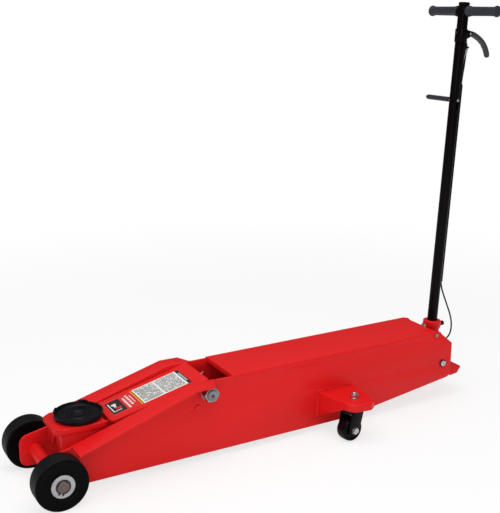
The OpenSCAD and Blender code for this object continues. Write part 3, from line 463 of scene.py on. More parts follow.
def pressed(name, outline, low, high, place, edge):  # a plate with softened edges
    return softened(prism(name, outline, low, high, place), edge)


def sideWall(name, outline, side, inner, outer, place, edge):  # a plate set off to one side
    return pressed(name, outline, *sorted((side * inner, side * outer)), place, edge)


def fromNode(node, name):  # a merged copy of a CAD node's mesh, its flats made whole
    shape = bmesh.new()
    shape.from_mesh(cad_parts[node].data)
    bmesh.ops.remove_doubles(shape, verts=shape.verts, dist=0.00002)
    bmesh.ops.dissolve_limit(shape, angle_limit=math.radians(1.0), verts=shape.verts, edges=shape.edges)
    return fromShape(name, shape)


def smoothPath(points, steps=6):  # a curve through all the points
    points = [Vector(p) for p in points]
    ends = [points[0] * 2 - points[1]] + points + [points[-1] * 2 - points[-2]]
    made = []
    for i in range(len(points) - 1):
        a, b, c, d = ends[i:i + 4]
        for k in range(steps):
            t = k / steps
            made.append(0.5 * (2 * b + (c - a) * t + (2 * a - 5 * b + 4 * c - d) * t ** 2
                               + (3 * b - a - 3 * c + d) * t ** 3))
    return made + [points[-1]]


# things that repeat or follow a path
def grown(name, build, sizes, finish, carrier=None):
    tree = bpy.data.node_groups.new(name + "Tree", "GeometryNodeTree")
    tree.interface.new_socket("Geometry", in_out="INPUT", socket_type="NodeSocketGeometry")
    tree.interface.new_socket("Geometry", in_out="OUTPUT", socket_type="NodeSocketGeometry")
    keys = {}
    for key, value in sizes.items():
        kind = "NodeSocketInt" if isinstance(value, int) else "NodeSocketFloat"
        keys[key] = tree.interface.new_socket(key, in_out="INPUT", socket_type=kind).identifier
    bench = Bench(tree)
    start, end = tree.nodes.new("NodeGroupInput"), tree.nodes.new("NodeGroupOutput")
    inputs = {key: Wire(bench, start.outputs[key]) for key in ("Geometry", *sizes)}
    shape = build(bench, inputs)
    shape = bench.add("GeometryNodeRealizeInstances", {}, {0: shape})
    shape = bench.add("GeometryNodeSetMaterial", {}, {"Geometry": shape, "Material": finishes[finish][0]})
    tree.links.new(shape.socket, end.inputs[0])
    piece = inScene(name, carrier or bpy.data.meshes.new(name))
    modifier = piece.modifiers.new(name, "NODES")
    modifier.node_group = tree
    for key, value in sizes.items():
        modifier[keys[key]] = value
    baked(piece)
    bpy.data.node_groups.remove(tree)
    return piece


def pathMesh(name, paths):
    points, edges = [], []
    for path in paths:
        first = len(points)
        points += [tuple(p) for p in path]
        edges += [(first + i, first + i + 1) for i in range(len(path) - 1)]
    mesh = bpy.data.meshes.new(name)
    mesh.from_pydata(points, edges, [])
    return mesh


def beadRun(bench, given):  # a weld's overlapping ripples along each path
    curve = bench.add("GeometryNodeMeshToCurve", {}, {0: given["Geometry"]})
    curve = bench.add("GeometryNodeResampleCurve", {"mode": "LENGTH"}, {"Curve": curve, "Length": given["Pitch"]})
    bead = bench.add("GeometryNodeMeshIcoSphere", {}, {"Radius": given["Bead"], "Subdivisions": 2})
    turn = bench.add("FunctionNodeAlignRotationToVector", {"axis": "X"}, {
        "Vector": bench.add("GeometryNodeInputTangent")})
    size = bench.add("FunctionNodeRandomValue", {"data_type": "FLOAT"}, {2: 0.85, 3: 1.12, "Seed": given["Seed"]},
                     out=1)
    spread = bench.add("ShaderNodeCombineXYZ", {}, {0: size * 0.62, 1: size, 2: size})
    return bench.add("GeometryNodeInstanceOnPoints", {}, {"Points": curve, "Instance": bead, "Rotation": turn,
                                                          "Scale": spread})


def weld(name, body, paths, pitch=2.4, bead=2.4, finish="redWeld"):
    piece = grown(name, beadRun, {"Pitch": pitch / 1000, "Bead": bead / 1000, "Seed": 7}, finish, pathMesh(name, paths))
    fitted(smoothed(piece, 60), body, finish)


def swept(bench, curve, given):  # a round wire along a curve
    ring = bench.add("GeometryNodeCurvePrimitiveCircle", {"mode": "RADIUS"}, {
        "Resolution": given["Sides"], "Radius": given["Wire"]})
    return bench.add("GeometryNodeCurveToMesh", {}, {"Curve": curve, "Profile Curve": ring, "Fill Caps": True})


def coilRun(bench, given):
    return swept(bench, bench.add("GeometryNodeCurveSpiral", {}, {
        "Resolution": given["Smooth"], "Rotations": given["Turns"], "Start Radius": given["Radius"],
        "End Radius": given["Radius"], "Height": given["Length"]}), given)


def coil(name, turns, radius, length, wire, smooth, sideCount, place, finish):
    piece = grown(name, coilRun, {"Smooth": smooth, "Turns": float(turns), "Radius": radius / 1000,
                                  "Length": length / 1000, "Sides": sideCount, "Wire": wire / 1000}, finish)
    piece.data.transform(place @ Matrix.Scale(1000, 4))
    return tidied(smoothed(piece, 60))


def tubeRun(bench, given):
    return swept(bench, bench.add("GeometryNodeMeshToCurve", {}, {0: given["Geometry"]}), given)


def tube(name, points, radius, finish):
    piece = grown(name, tubeRun, {"Sides": 14, "Wire": radius / 1000}, finish, pathMesh(name, [points]))
    return tidied(smoothed(piece, 60))


# release cable, from the conduit's mouth into the rear of the chassis
cableSet = {"hinge": 1362.0, "radius": 2.7, "root": (1404, 0, 151), "mouth": (1412, 0, 350), "route": [
    (50.9, 0, 392), (56, 1, 370), (66, 2, 345), (79, 3, 318), (92, 5, 292), (104, 8, 270), (114, 11, 248),
    (121, 14, 226), (125, 18, 205), (126, 23, 186), (122, 29, 170), (112, 35, 159), (94, 40, 152), (72, 44, 149),
    (50, 46, 150), (28, 46, 154), (8, 46, 158), (-8, 46, 160), (-24, 46, 160)]}
cableLine = smoothPath([onJack(cableSet["hinge"] + x, y, z) for x, y, z in cableSet["route"]])
releaseCable = fitted(tube("releaseCable", cableLine, cableSet["radius"], "cableBlack"), None, "cableBlack",
                      "release_cable")
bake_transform(releaseCable)

# painted steelwork, with the radius that the press and the paint leave on each edge
steelwork = [  # body, finish, and the CAD nodes with their edge radii
    ("chassis", "redPaint", {"side_plate_left": 2.0, "side_plate_right": 2.0, "belly_plate": 1.8, "cross_ties": 0.6,
        "reservoir_shell": 1.0}),
    ("chassis", "greySteel", {"lock_quadrant": 1.0}),
    ("chassis", "zincPlate", {"cable_anchor": 0.5}),
    ("chassis", "greySteel", {"pump_block": 1.5, "cylinder_tube": 1.0}),
    ("chassis", "zincPlate", {"release_valve": 0.4}),
    ("chassis", "redPaint", {"link_anchor_pins": 0.7}),
    ("lift_arm", "redPaint", {"arm_cheeks": 1.5, "arm_cross_tubes": 0.8}),
    ("lift_arm", "bushBronze", {"arm_bushes": 0.4}),
    ("lift_arm", "drawnSteel", {"crank_pin": 1.2}),
    ("levelling_links", "redPaint", {"levelling_links": 1.5}),
    ("ram", "greySteel", {"ram_yoke": 1.5}),
    ("ram", "drawnSteel", {"ram_rod": 0.8}),
    ("pump_plunger", "drawnSteel", {"pump_plunger": 0.8}),
    ("handle", "redPaint", {"handle_socket": 1.4}),
    ("handle", "blackPaint", {"handle_tube": 0.5, "cable_conduit": 0.5, "t_bar": 0.6, "tube_cap": 0.8}),
    ("handle", "drawnSteel", {"cam_roller": 0.8}),
    ("handle", "blackPaint", {"lever_bracket": 0.7}),
    ("release_lever", "zincPlate", {"release_lever": 0.8}),
    ("lock_lever", "zincPlate", {"lock_rod": 0.5, "lock_lever": 0.5})]
otherNames = {"link_anchor_pins": "anchorPins", "t_bar": "crossBar"}
for body, finish, nodes in steelwork:
    for node, radius in nodes.items():
        first, *rest = node.split("_")
        name = otherNames.get(node, first + "".join(part.title() for part in rest))
        fitted(softened(fromNode(node, name), radius), body, finish, node,
               "black_plastic" if node == "tube_cap" else None)
print("steelwork:", sum(len(nodes) for body, finish, nodes in steelwork), "pieces")

# lift arm: top plate with rounded front corners, and its label
armPlate = {"front": 180.0, "rear": 480.0, "frontZ": 180.0, "rearZ": 251.0, "halfFront": 66.0, "halfRear": 78.0,
            "thick": 8.0, "corner": 16.0, "rearCorner": 3.0, "edge": 1.6}


def armTop(x):
    share = (x - armPlate["front"]) / (armPlate["rear"] - armPlate["front"])
    return armPlate["frontZ"] + share * (armPlate["rearZ"] - armPlate["frontZ"])


armOutline = filleted([(armPlate["front"], -armPlate["halfFront"]), (armPlate["rear"], -armPlate["halfRear"]),
                       (armPlate["rear"], armPlate["halfRear"]), (armPlate["front"], armPlate["halfFront"])],
                      [armPlate[key] for key in ("corner", "rearCorner", "rearCorner", "corner")])
fitted(pressed("armTopPlate", armOutline, lambda x: armTop(x) - armPlate["thick"], armTop, jackFrame,
               armPlate["edge"]), "lift_arm", "redPaint", "arm_top_plate")

labelSet = {"start": 196.0, "length": 243.0, "half": 51.0, "lift": 0.45, "under": 0.02, "rows": 12}
labelRings, labelUv = [], []
for i in range(labelSet["rows"] + 1):
    share = i / labelSet["rows"]
    x = labelSet["start"] + labelSet["length"] * i / labelSet["rows"]
    corners = ((-1, "lift"), (1, "lift"), (1, "under"), (-1, "under"))
    labelRings.append([(x, side * labelSet["half"], armTop(x) + labelSet[level]) for side, level in corners])
    labelUv += [(share, (side + 1) / 2) for side, level in corners]
fitted(lofted("armLabel", labelRings, jackFrame, labelUv), "lift_arm", "armLabelPrint", "arm_label")

nipple = {"tilt": 45, "start": 24.6, "profile": [
    (0, 0), (4.4, 0), (5, 0.5, 6), (5, 5.5, 6), (4.2, 6), (2.4, 7), (2.2, 9.6), (3.1, 11), (3.0, 12.4), (1.6, 13.8),
    (0, 13.9)]}
nippleFrame = jackFrame @ moved(*pivotLine) @ spun(nipple["tilt"], "Y") @ moved(0, 0, nipple["start"])
fitted(smoothed(turned("greaseNipple", nipple["profile"], 36, nippleFrame)), "lift_arm", "zincPlate", "grease_nipple")

# top cover, bent over the side plates' edges
coverSet = {"front": 552.3, "rear": 1328.0, "side": 88.35, "low": 245.6, "top": 252.2, "radius": 5.0, "seat": 248.02,
            "skin": 0.3, "lipIn": 76.0, "lipOut": 79.8, "lipLow": 222.0, "lipFront": 612.0, "lipRear": 1340.0,
            "noseHalf": 78.0, "noseLow": 236.0, "noseFront": 552.1, "noseRear": 556.0, "edge": 1.0, "lipEdge": 0.8}
coverEdge, coverIn, coverSeat = coverSet["side"], coverSet["side"] - coverSet["skin"], coverSet["seat"]
coverOutline = filleted([(coverEdge, coverSet["low"]), (coverEdge, coverSet["top"]), (-coverEdge, coverSet["top"]),
                         (-coverEdge, coverSet["low"]), (-coverIn, coverSet["low"]), (-coverIn, coverSeat),
                         (coverIn, coverSeat), (coverIn, coverSet["low"])],
                        [0, coverSet["radius"], coverSet["radius"], 0, 0, 0, 0, 0], 6)


def upright(left, right, low, high):  # a rectangle as an outline
    return [(left, low), (right, low), (right, high), (left, high)]


coverParts = [
    prism("sheet", coverOutline, coverSet["front"], coverSet["rear"], acrossFrame),
    pressed("nose", upright(-coverSet["noseHalf"], coverSet["noseHalf"], coverSet["noseLow"], coverSeat),
            coverSet["noseFront"], coverSet["noseRear"], acrossFrame, coverSet["edge"])]
for side, label in sides:
    lip = sorted((side * coverSet["lipIn"], side * coverSet["lipOut"]))
    coverParts.append(pressed("lip", upright(*lip, coverSet["lipLow"], coverSeat), coverSet["lipFront"],
                              coverSet["lipRear"], acrossFrame, coverSet["lipEdge"]))
assembled("topCover", coverParts, 40, "chassis", "redPaint", "top_cover")

# head bracket: a pressed plate with a folded lip, its sides set in below
headSet = {"front": 18.5, "corner": 41.0, "rear": 165.0, "half": 67.0, "nose": 49.0, "top": 184.5, "under": 178.5,
           "lipLow": 168.0, "lip": 4.0, "miter": 1.7, "wallIn": 58.5, "wallOut": 62.6, "wallFront": 35.0,
           "wallThick": 4.5, "edge": 1.6, "thinEdge": 1.0, "pinX": 107}
front, corner, rear, half, nose, lip = (headSet[key] for key in ("front", "corner", "rear", "half", "nose", "lip"))
headPlan = [(front, -nose), (corner, -half), (rear, -half), (rear, half), (corner, half), (front, nose)]
headParts = [pressed("plate", filleted(headPlan, [6, 6, 3, 3, 6, 6]), headSet["under"], headSet["top"], jackFrame,
                     headSet["edge"])]
band = [(rear - 2, half), (corner, half), (front, nose), (front, -nose), (corner, -half), (rear - 2, -half),
        (rear - 2, lip - half), (corner + headSet["miter"], lip - half), (front + lip, headSet["miter"] - nose),
        (front + lip, nose - headSet["miter"]), (corner + headSet["miter"], half - lip), (rear - 2, half - lip)]
headParts.append(pressed("band", filleted(band, [0, 6, 6, 6, 6, 0, 0, 2, 2, 2, 2, 0], 5), headSet["lipLow"],
                         headSet["under"] + 3, jackFrame, headSet["thinEdge"]))
headWall = filleted([(headSet["wallFront"], 181), (161, 181), (161, 168), (141, 126), (94, 90), (50, 90),
                     (headSet["wallFront"], 106)], [0, 0, 6, 14, 12, 12, 8])
headParts += [sideWall("wall", headWall, side, headSet["wallIn"], headSet["wallOut"], uprightFrame,
                       headSet["thinEdge"]) for side, label in sides]
noseWall = filleted([(-62, 181), (-56, 106), (-26, 106), (0, 148), (26, 106), (56, 106), (62, 181)],
                    [0, 8, 8, 5, 8, 8, 0])
headParts.append(pressed("nose", noseWall, headSet["wallFront"], headSet["wallFront"] + headSet["wallThick"],
                         acrossFrame, headSet["thinEdge"]))
saddleFrame = jackFrame @ moved(headSet["pinX"], 0, 0)
headParts.append(turned("boss", ringProfile(15.1, 23, 163, 180, 0.8), 60, saddleFrame))
assembled("headBracket", headParts, 40, "head", "redPaint", "saddle_bracket")
pinSet = {"headPin": (headSet["pinX"], 148, 11.0, "lift_arm", "head_pin"),
          "linkFrontPin": (72, 106, 9.0, "head", "link_front_pin")}
pinReach = headSet["wallOut"] - 0.4
for name, (x, z, radius, body, node) in pinSet.items():
    pin = turned(name, rodProfile(radius, -pinReach, pinReach), 48, outward(x, 0, z, 1))
    fitted(smoothed(pin), body, "drawnSteel", node)

# saddle: a cast cup with four lugs
saddleSet = {"lugs": 4, "firstLug": 60.0, "halfAngle": 13.0, "inner": 64.0, "outer": 69.9, "root": 199.5,
             "rim": 202.0, "top": 207.4, "steps": 20, "profile": [
                 (0, 163), (14, 163), (15, 164), (15, 184.8), (60, 184.8), (63, 185.4), (67.6, 188.4), (69.0, 190.6),
                 (69.8, 195), (70, 200.8), (69.5, 202), (68.4, 202.5), (66.8, 202.5), (65.8, 202), (65.2, 201),
                 (63.8, 196.4), (61.8, 193.2), (58.6, 191.4), (54, 190.6), (37, 190.2), (34, 190.5), (31.8, 191.8),
                 (30.2, 193.4), (28.6, 193.9), (24.2, 193.9), (22.4, 193.2), (20.8, 190.6), (18.6, 188.6),
                 (0, 188.2)]}
saddleParts = [turned("cup", saddleSet["profile"], 120, saddleFrame)]
inner, outer, root = saddleSet["inner"], saddleSet["outer"], saddleSet["root"]
for k in range(saddleSet["lugs"]):
    rings = []
    for i in range(saddleSet["steps"] + 1):
        share = 2 * i / saddleSet["steps"] - 1
        top = saddleSet["rim"] + (saddleSet["top"] - saddleSet["rim"]) * (1 - abs(share) ** 5) ** 0.5
        angle = saddleSet["firstLug"] + 90 * k + saddleSet["halfAngle"] * share
        rim = [(inner, root), (outer, root), (outer, top - 1.8), (outer - 0.6, top - 0.6), (outer - 1.8, top),
               (inner + 1.6, top), (inner + 0.5, top - 0.5), (inner, top - 1.6)]
        rings.append([(*around(radius, angle), z) for radius, z in rim])
    saddleParts.append(lofted("lug", rings, saddleFrame))
assembled("saddleCup", saddleParts, 50, "saddle", "saddleIron", "saddle")
print("head and cover made")

# front wheels
wheelSet = {"inside": 111.0, "width": 57.0, "treadFrom": 73.0, "steps": 96, "profile": [
    (17.05, 0.4), (33.5, 0.4), (35, 1.2), (36.5, 1.8), (62.5, 1.8), (64.5, 1.1), (66, 0.5), (69.5, 0.4), (71.9, 0.9),
    (73.6, 2.1), (74.6, 3.8), (74.9, 6), (75, 12), (75, 45), (74.9, 51), (74.6, 53.2), (73.6, 54.9), (71.9, 56.1),
    (69.5, 56.6), (64, 56.6), (62, 54), (36, 54), (34, 57), (17.05, 57)]}
axleZ = axleLine[2]
for side, label in sides:
    place = outward(0, side * wheelSet["inside"], axleZ, side)
    flipped = [(r, wheelSet["width"] - z) for r, z in reversed(wheelSet["profile"])]
    wheel = smoothed(turned("frontWheel" + label, flipped, wheelSet["steps"], place), 40)
    node = "front_wheel_" + label.lower()
    fitted(wheel, node, "treadBlack wheelFace", node)
    centre = place.translation
    for face in wheel.data.polygons:
        reach = math.hypot(face.center.x - centre.x, face.center.z - centre.z) * 1000
        face.material_index = 0 if reach > wheelSet["treadFrom"] else 1


def snapRing(name, inner, outer, low, high, place, gap=13.0, ear=4.2):  # ring with a gap and two lugs
    lug = [(-gap - 8, outer), (-gap - 6, outer + ear), (-gap + 5, outer + ear), (-gap + 7, inner)]
    rim = [around(outer, gap + 8 + (344 - 2 * gap) * i / 60) for i in range(61)]
    rim += [around(radius, angle) for angle, radius in lug]
    rim += [around(inner, 360 - gap + 3 - (354 - 2 * gap) * i / 60) for i in range(61)]
    rim += [around(radius, -angle) for angle, radius in reversed(lug)]
    return softened(prism(name, rim, low, high, place), 0.25, 2)


axleSet = {"retainer": 168.3, "ringTurn": -110, "end": 174.9, "collar": 88.05, "sleeve": 79.95, "profile": [
    (0, 0), (15.6, 0), (17, 1.4), (17, 348.4), (15.6, 349.8), (2.6, 349.8), (1.2, 347.6), (0, 346.6)]}
retainers, snapRings, collars = [], [], []
for side, label in sides:
    place = outward(0, side * axleSet["retainer"], axleZ, side)
    retainers.append(turned("washer", ringProfile(17.3, 33, 0, 3, 0.6), 72, place))
    snapRings.append(snapRing("ring", 17.2, 20.8, 3.05, 4.9, place @ spun(axleSet["ringTurn"], "Z")))
    collars.append(turned("collar", ringProfile(17.02, 25, 0, 22.6, 1.2), 72,
                          outward(0, side * axleSet["collar"], axleZ, side)))
assembled("wheelRetainers", retainers, 40, "chassis", "washerGrey", "wheel_retainers")
assembled("snapRings", snapRings, 40, "chassis", "darkSteel")
fitted(smoothed(turned("axle", axleSet["profile"], 72, outward(0, -axleSet["end"], axleZ, 1)), 40), "chassis",
       "axleSteel", "front_axle")
collars.append(turned("axleSleeve", ringProfile(17.02, 19.2, 0, 2 * axleSet["sleeve"], 0.4), 72,
                      outward(0, -axleSet["sleeve"], axleZ, 1)))
assembled("axleCollars", collars, 40, "chassis", "redPaint")

# main pivot
pivotSet = {"end": 119, "thread": 114.6, "profile": [
    (0, 7), (3.6, 5), (4.4, 0.8), (5.4, 0), (14.2, 0), (16, 1.8), (16, 236.2), (14.2, 238), (5.4, 238), (4.4, 237.2),
    (3.6, 233), (0, 231)]}
pivotX, pivotZ = pivotLine[0], pivotLine[2]
pivotMetal, pivotDark, threads = [], [], []
for side, label in sides:
    place = outward(pivotX, side * plateFace, pivotZ, side)
    pivotMetal.append(turned("washer", ringProfile(16.1, 24.5, 0, 2.0, 0.5), 72, place))
    pivotDark.append(turned("lock", ringProfile(16.1, 20.4, 2.0, 5, 0.3), 72, place))
    pivotMetal.append(turned("nut", nutProfile(42, 22, 16.2, 5), 72, place))
    threads.append(coil("thread", 3, 15.95, 4.2, 0.5, 48, 5, outward(pivotX, side * pivotSet["thread"], pivotZ, side),
                        "pivotSteel"))
assembled("pivotNuts", pivotMetal, 32, "chassis", "nutSteel", "pivot_fasteners")
assembled("pivotLockWashers", pivotDark, 32, "chassis", "darkSteel")
shaft = turned("shaft", pivotSet["profile"], 72, outward(pivotX, -pivotSet["end"], pivotZ, 1))
assembled("pivotShaft", [shaft, *threads], 40, "chassis", "pivotSteel", "arm_pivot_shaft")

# screws at the rear
rearSet = {"screwX": 1329, "screwZ": 239, "shankFoot": 71, "boltX": 1362, "boltZ": 134, "boltHalf": 87.95}
screwParts, boltParts, boltRims = [], [], []
for side, label in sides:
    screwSpot, shankSpot = [outward(rearSet["screwX"], side * y, rearSet["screwZ"], side)
                            for y in (plateFace, rearSet["shankFoot"])]
    screwParts.append(turned("screw", headProfile(6.6, 4, 2.8), 48, screwSpot))
    screwParts.append(turned("shank", [(0, 0), (3.2, 0), (3.9, 0.8), (3.9, 17), (0, 17)], 32, shankSpot))
    boltSpot = outward(rearSet["boltX"], side * plateFace, rearSet["boltZ"], side)
    boltRims.append(turned("rim", ringProfile(10.2, 12.6, 0, 2.4, 0.5), 60, boltSpot))
    boltParts.append(turned("end", headProfile(9.7, 6, 4.2), 48, boltSpot))
boltParts.append(turned("pin", rodProfile(10, 0, 2 * rearSet["boltHalf"]), 60,
                        outward(rearSet["boltX"], -rearSet["boltHalf"], rearSet["boltZ"], 1)))
assembled("coverScrews", screwParts, 35, "chassis", "nutSteel", "cover_screws")
assembled("handlePivotBolt", boltParts, 35, "chassis", "zincPlate", "handle_pivot_bolt", "steel")
assembled("pivotBoltRims", boltRims, 35, "chassis", "darkSteel")
print("fasteners made")

# casters
bracketSet = {"top": 135.5, "bend": 6.0, "thick": 5.0, "skirtLow": 54.5, "skirtHigh": 111.5, "wall": 94.0,
              "nose": 198.0, "station": 14, "padIn": 88.02, "padOut": 91.0, "edge": 0.8, "padEdge": 0.9,
              "path": [(860, 88), (884, 214), (898, 234), (954, 241), (976, 226), (992, 88)],
              "radii": [0, 22, 16, 14, 14, 0], "pad": upright(852, 1000, 51.5, 143.5), "beadY": 91.2,
              "bead": [(860, 57), (860, 133), (865, 136), (986, 136), (992, 132), (992, 57)]}


def skirtBottom(y):
    share = max(0.0, min(1.0, (y - bracketSet["wall"]) / (bracketSet["nose"] - bracketSet["wall"])))
    return bracketSet["skirtLow"] + share * (bracketSet["skirtHigh"] - bracketSet["skirtLow"])


def casterBracket(side, label):
    corners = filleted(bracketSet["path"], bracketSet["radii"], 7, closed=False)
    line = []
    for a, b in zip(corners, corners[1:]):  # long runs get a few more stations
        count = max(1, int((b - a).length / bracketSet["station"]))
        line += [a.lerp(b, k / count) for k in range(count)]
    line.append(corners[-1])
    points, bend = [], bracketSet["bend"]
    for i, point in enumerate(line):
        along = line[min(i + 1, len(line) - 1)] - line[max(i - 1, 0)]
        out = Vector((-along.y, along.x)).normalized()
        ring = []
        for angle in range(0, 91, 15):
            rise, reach = around(bend, angle)
            ring.append((*(point - out * bend + out * reach), bracketSet["top"] - bend + rise))
        drop = skirtBottom(point.y) - ring[-1][2]
        ring += [(point.x, point.y, ring[-1][2] + drop * k / 3) for k in (1, 2, 3)]
        points += [(x, side * y, z) for x, y, z in ring]
    count = len(ring)
    faces = [(j * count + i, (j + 1) * count + i, (j + 1) * count + i + 1, j * count + i + 1)
             for j in range(len(line) - 1) for i in range(count - 1)]
    faces.append(tuple(j * count for j in range(len(line) - 1, -1, -1)))
    sheet = tidied(newPiece("sheet", points, faces, jackFrame))
    if max(sheet.data.polygons, key=lambda face: face.area).normal.z < 0:
        sheet.data.flip_normals()
    wall = sheet.modifiers.new("sheet", "SOLIDIFY")
    wall.thickness, wall.offset, wall.use_even_offset = bracketSet["thick"] / 1000, -1, True
    pad = sideWall("pad", filleted(bracketSet["pad"], [4, 4, 6, 6]), -side, bracketSet["padIn"], bracketSet["padOut"],
                   uprightFrame, bracketSet["padEdge"])
    assembled("casterBracket" + label, [softened(baked(sheet), bracketSet["edge"], 2, 50), pad], 40, "chassis",
              "redPaint", "caster_bracket_" + label.lower())
    weld("bracketWeld" + label, "chassis", [[onJack(x, side * bracketSet["beadY"], z) for x, z in bracketSet["bead"]]],
         2.0, 1.9)


forkSet = {"legIn": 22.0, "legOut": 26.0, "axleZ": 37.5, "top": 130.2, "plate": 6.0, "edge": 0.9, "legs": filleted(
    [(-26, 127), (-40, 49.5), (-38, 29.5), (-29, 19.5), (-7, 19.5), (2, 29.5), (6, 49.5), (26, 127)],
    [0, 16, 12, 9, 9, 12, 16, 0]), "plan": filleted(upright(-28, 28, -26, 26), [9, 9, 9, 9])}
casterHalf = [(5.05, 20), (11, 20), (13.5, 19), (14.5, 16.4), (17, 15.2), (27, 15), (28.6, 16.2), (29.6, 18.7),
              (31, 19.7), (33, 19.5), (35.2, 17.6), (36.7, 14.2), (37.4, 8.6), (37.5, 0)]
casterProfile = casterHalf + [(r, -z) for r, z in reversed(casterHalf[:-1])]
studSet = {"washer": 135.5, "nut": 138.0, "thread": 148.4, "profile": [
    (0, 117.9), (12.2, 117.9), (13, 118.7), (13, 123.9), (8, 123.9), (8, 152.2), (6.8, 153.4), (0, 153.4)]}
studParts = []
for side, label in sides:
    casterBracket(side, label)
    base, name = casterFrame(side), label.lower()
    forkParts = [pressed("plate", forkSet["plan"], forkSet["top"] - forkSet["plate"], forkSet["top"], base,
                         forkSet["edge"])]
    forkParts += [sideWall("leg", forkSet["legs"], way, forkSet["legIn"], forkSet["legOut"], base @ spun(90, "X"),
                           forkSet["edge"]) for way in (-1, 1)]
    forkParts.append(turned("housing", ringProfile(15, 24, 88.2, 125, 1.0), 72, base))
    assembled("casterFork" + label, forkParts, 40, "caster_" + name, "casterBlack", "caster_fork_" + name)
    hub = base @ moved(-casterSeat["trail"], 0, forkSet["axleZ"])
    wheel = smoothed(turned("casterWheel" + label, casterProfile, 80, hub @ spun(90, "X")), 40)
    fitted(wheel, "caster_wheel_" + name, "casterBlack", "caster_wheel_" + name, "caster_black")
    bolts = []
    for way in (-1, 1):
        spot = outward(0, way * forkSet["legOut"], 0, way, hub)
        bolts += [turned("plain", ringProfile(5, 11.5, 0, 1.2, 0.3), 48, spot),
                  turned("nut", nutProfile(19, 5.8, 4.6, 1.2), 48, spot),
                  turned("tip", [(0, -24), (4.9, -24), (4.9, 7.0), (4.2, 7.8), (0, 8)], 32, spot)]
    assembled("casterAxle" + label, bolts, 32, "caster_" + name, "zincPlate")
    washerPlace, nutPlace, threadPlace = [base @ moved(0, 0, studSet[key]) for key in ("washer", "nut", "thread")]
    studParts += [turned("washer", ringProfile(8.1, 14, 0, 2.5, 0.5), 60, washerPlace),
                  turned("nut", nutProfile(22, 10, 8.1), 48, nutPlace), turned("stud", studSet["profile"], 48, base),
                  coil("thread", 2.2, 7.95, 4.0, 0.45, 40, 5, threadPlace, "zincPlate")]
assembled("casterStuds", studParts, 32, "chassis", "zincPlate", "caster_studs")
print("casters made")

# welds on the chassis, the arm and the handle
weldSet = {"tailX": 1402, "tailZ": 88.5, "tailOut": 86, "tailIn": 74, "tailRise": (90, 120), "hub": 31, "hubY": 42.5,
           "hubSquash": 0.84, "socket": 24.5, "socketS": 87, "bar": 11.7, "barS": 1156, "tube": 17.3,
           "conduit": (16.3, 5.2), "conduitRun": 16, "conduitS": (300, 450, 600, 750, 890)}
for side, label in sides:
    tailX, tailY = weldSet["tailX"], side * (plateFace - 2)
    weld("tailWeld" + label, "chassis", [
        [onJack(tailX, side * weldSet[key], weldSet["tailZ"]) for key in ("tailOut", "tailIn")],
        [onJack(tailX - 0.5, tailY, z) for z in weldSet["tailRise"]]])
    hubArc = [around(weldSet["hub"], angle) for angle in range(200, 330, 8)]
    weld("hubWeld" + label, "lift_arm", [[onJack(pivotX + x, side * weldSet["hubY"], pivotZ + z * weldSet["hubSquash"])
                                          for x, z in hubArc]])
weld("socketWeld", "handle", [[onHandle(*around(weldSet["socket"], angle), weldSet["socketS"])
                               for angle in range(0, 361, 10)]])
barRing = [around(weldSet["bar"], angle) for angle in range(0, 361, 12)]
weld("barWeld", "handle", [[onHandle(x, side * math.sqrt(weldSet["tube"] ** 2 - x ** 2), weldSet["barS"] + s)
                            for x, s in barRing] for side, label in sides], 1.8, 1.5, "blackPaint")
conduitX, conduitY = weldSet["conduit"]
weld("conduitWeld", "handle", [[onHandle(conduitX, side * conduitY, s + run) for run in (0, weldSet["conduitRun"])]
                               for side, label in sides for s in weldSet["conduitS"]], 1.8, 1.3, "blackPaint")
print("welds laid")

# springs
springSet = {"y": 52.0, "radius": 7.6, "wire": 1.3, "turns": 34, "hooks": (0.002, -0.01)}  # hooks stay put, in metres
pinBox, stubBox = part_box("return_springs")
springParts = []
for side, label in sides:
    start = Vector((pinBox.x, side * springSet["y"] / 1000, (pinBox.z + stubBox.z) / 2))
    springParts.append(coil("coil", springSet["turns"], springSet["radius"], (stubBox.x - pinBox.x) * 1000,
                            springSet["wire"], 16, 6, moved(*start) @ Matrix.Scale(0.001, 4) @ spun(90, "Y"),
                            "greySteel"))
returnSprings = fitted(joined("returnSprings", springParts), None, "greySteel", "return_springs")
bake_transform(smoothed(returnSprings, 60))
pumpSet = {"turns": 7, "radius": 11.4, "wire": 1.2, "keep": 0.45}
plungeLow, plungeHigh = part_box("pump_spring")
pumpStart = (plungeLow.x + pumpSet["wire"] / 1000, 0, (plungeLow.z + plungeHigh.z) / 2)
pumpSpring = coil("pumpSpring", pumpSet["turns"], pumpSet["radius"],
                  (plungeHigh.x - plungeLow.x) * 1000 - 2 * pumpSet["wire"], pumpSet["wire"], 28, 8,
                  moved(*pumpStart) @ Matrix.Scale(0.001, 4) @ spun(90, "Y"), "greySteel")
fitted(pumpSpring, "chassis", "greySteel", "pump_spring")
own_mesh(pumpSpring)
print("springs wound")

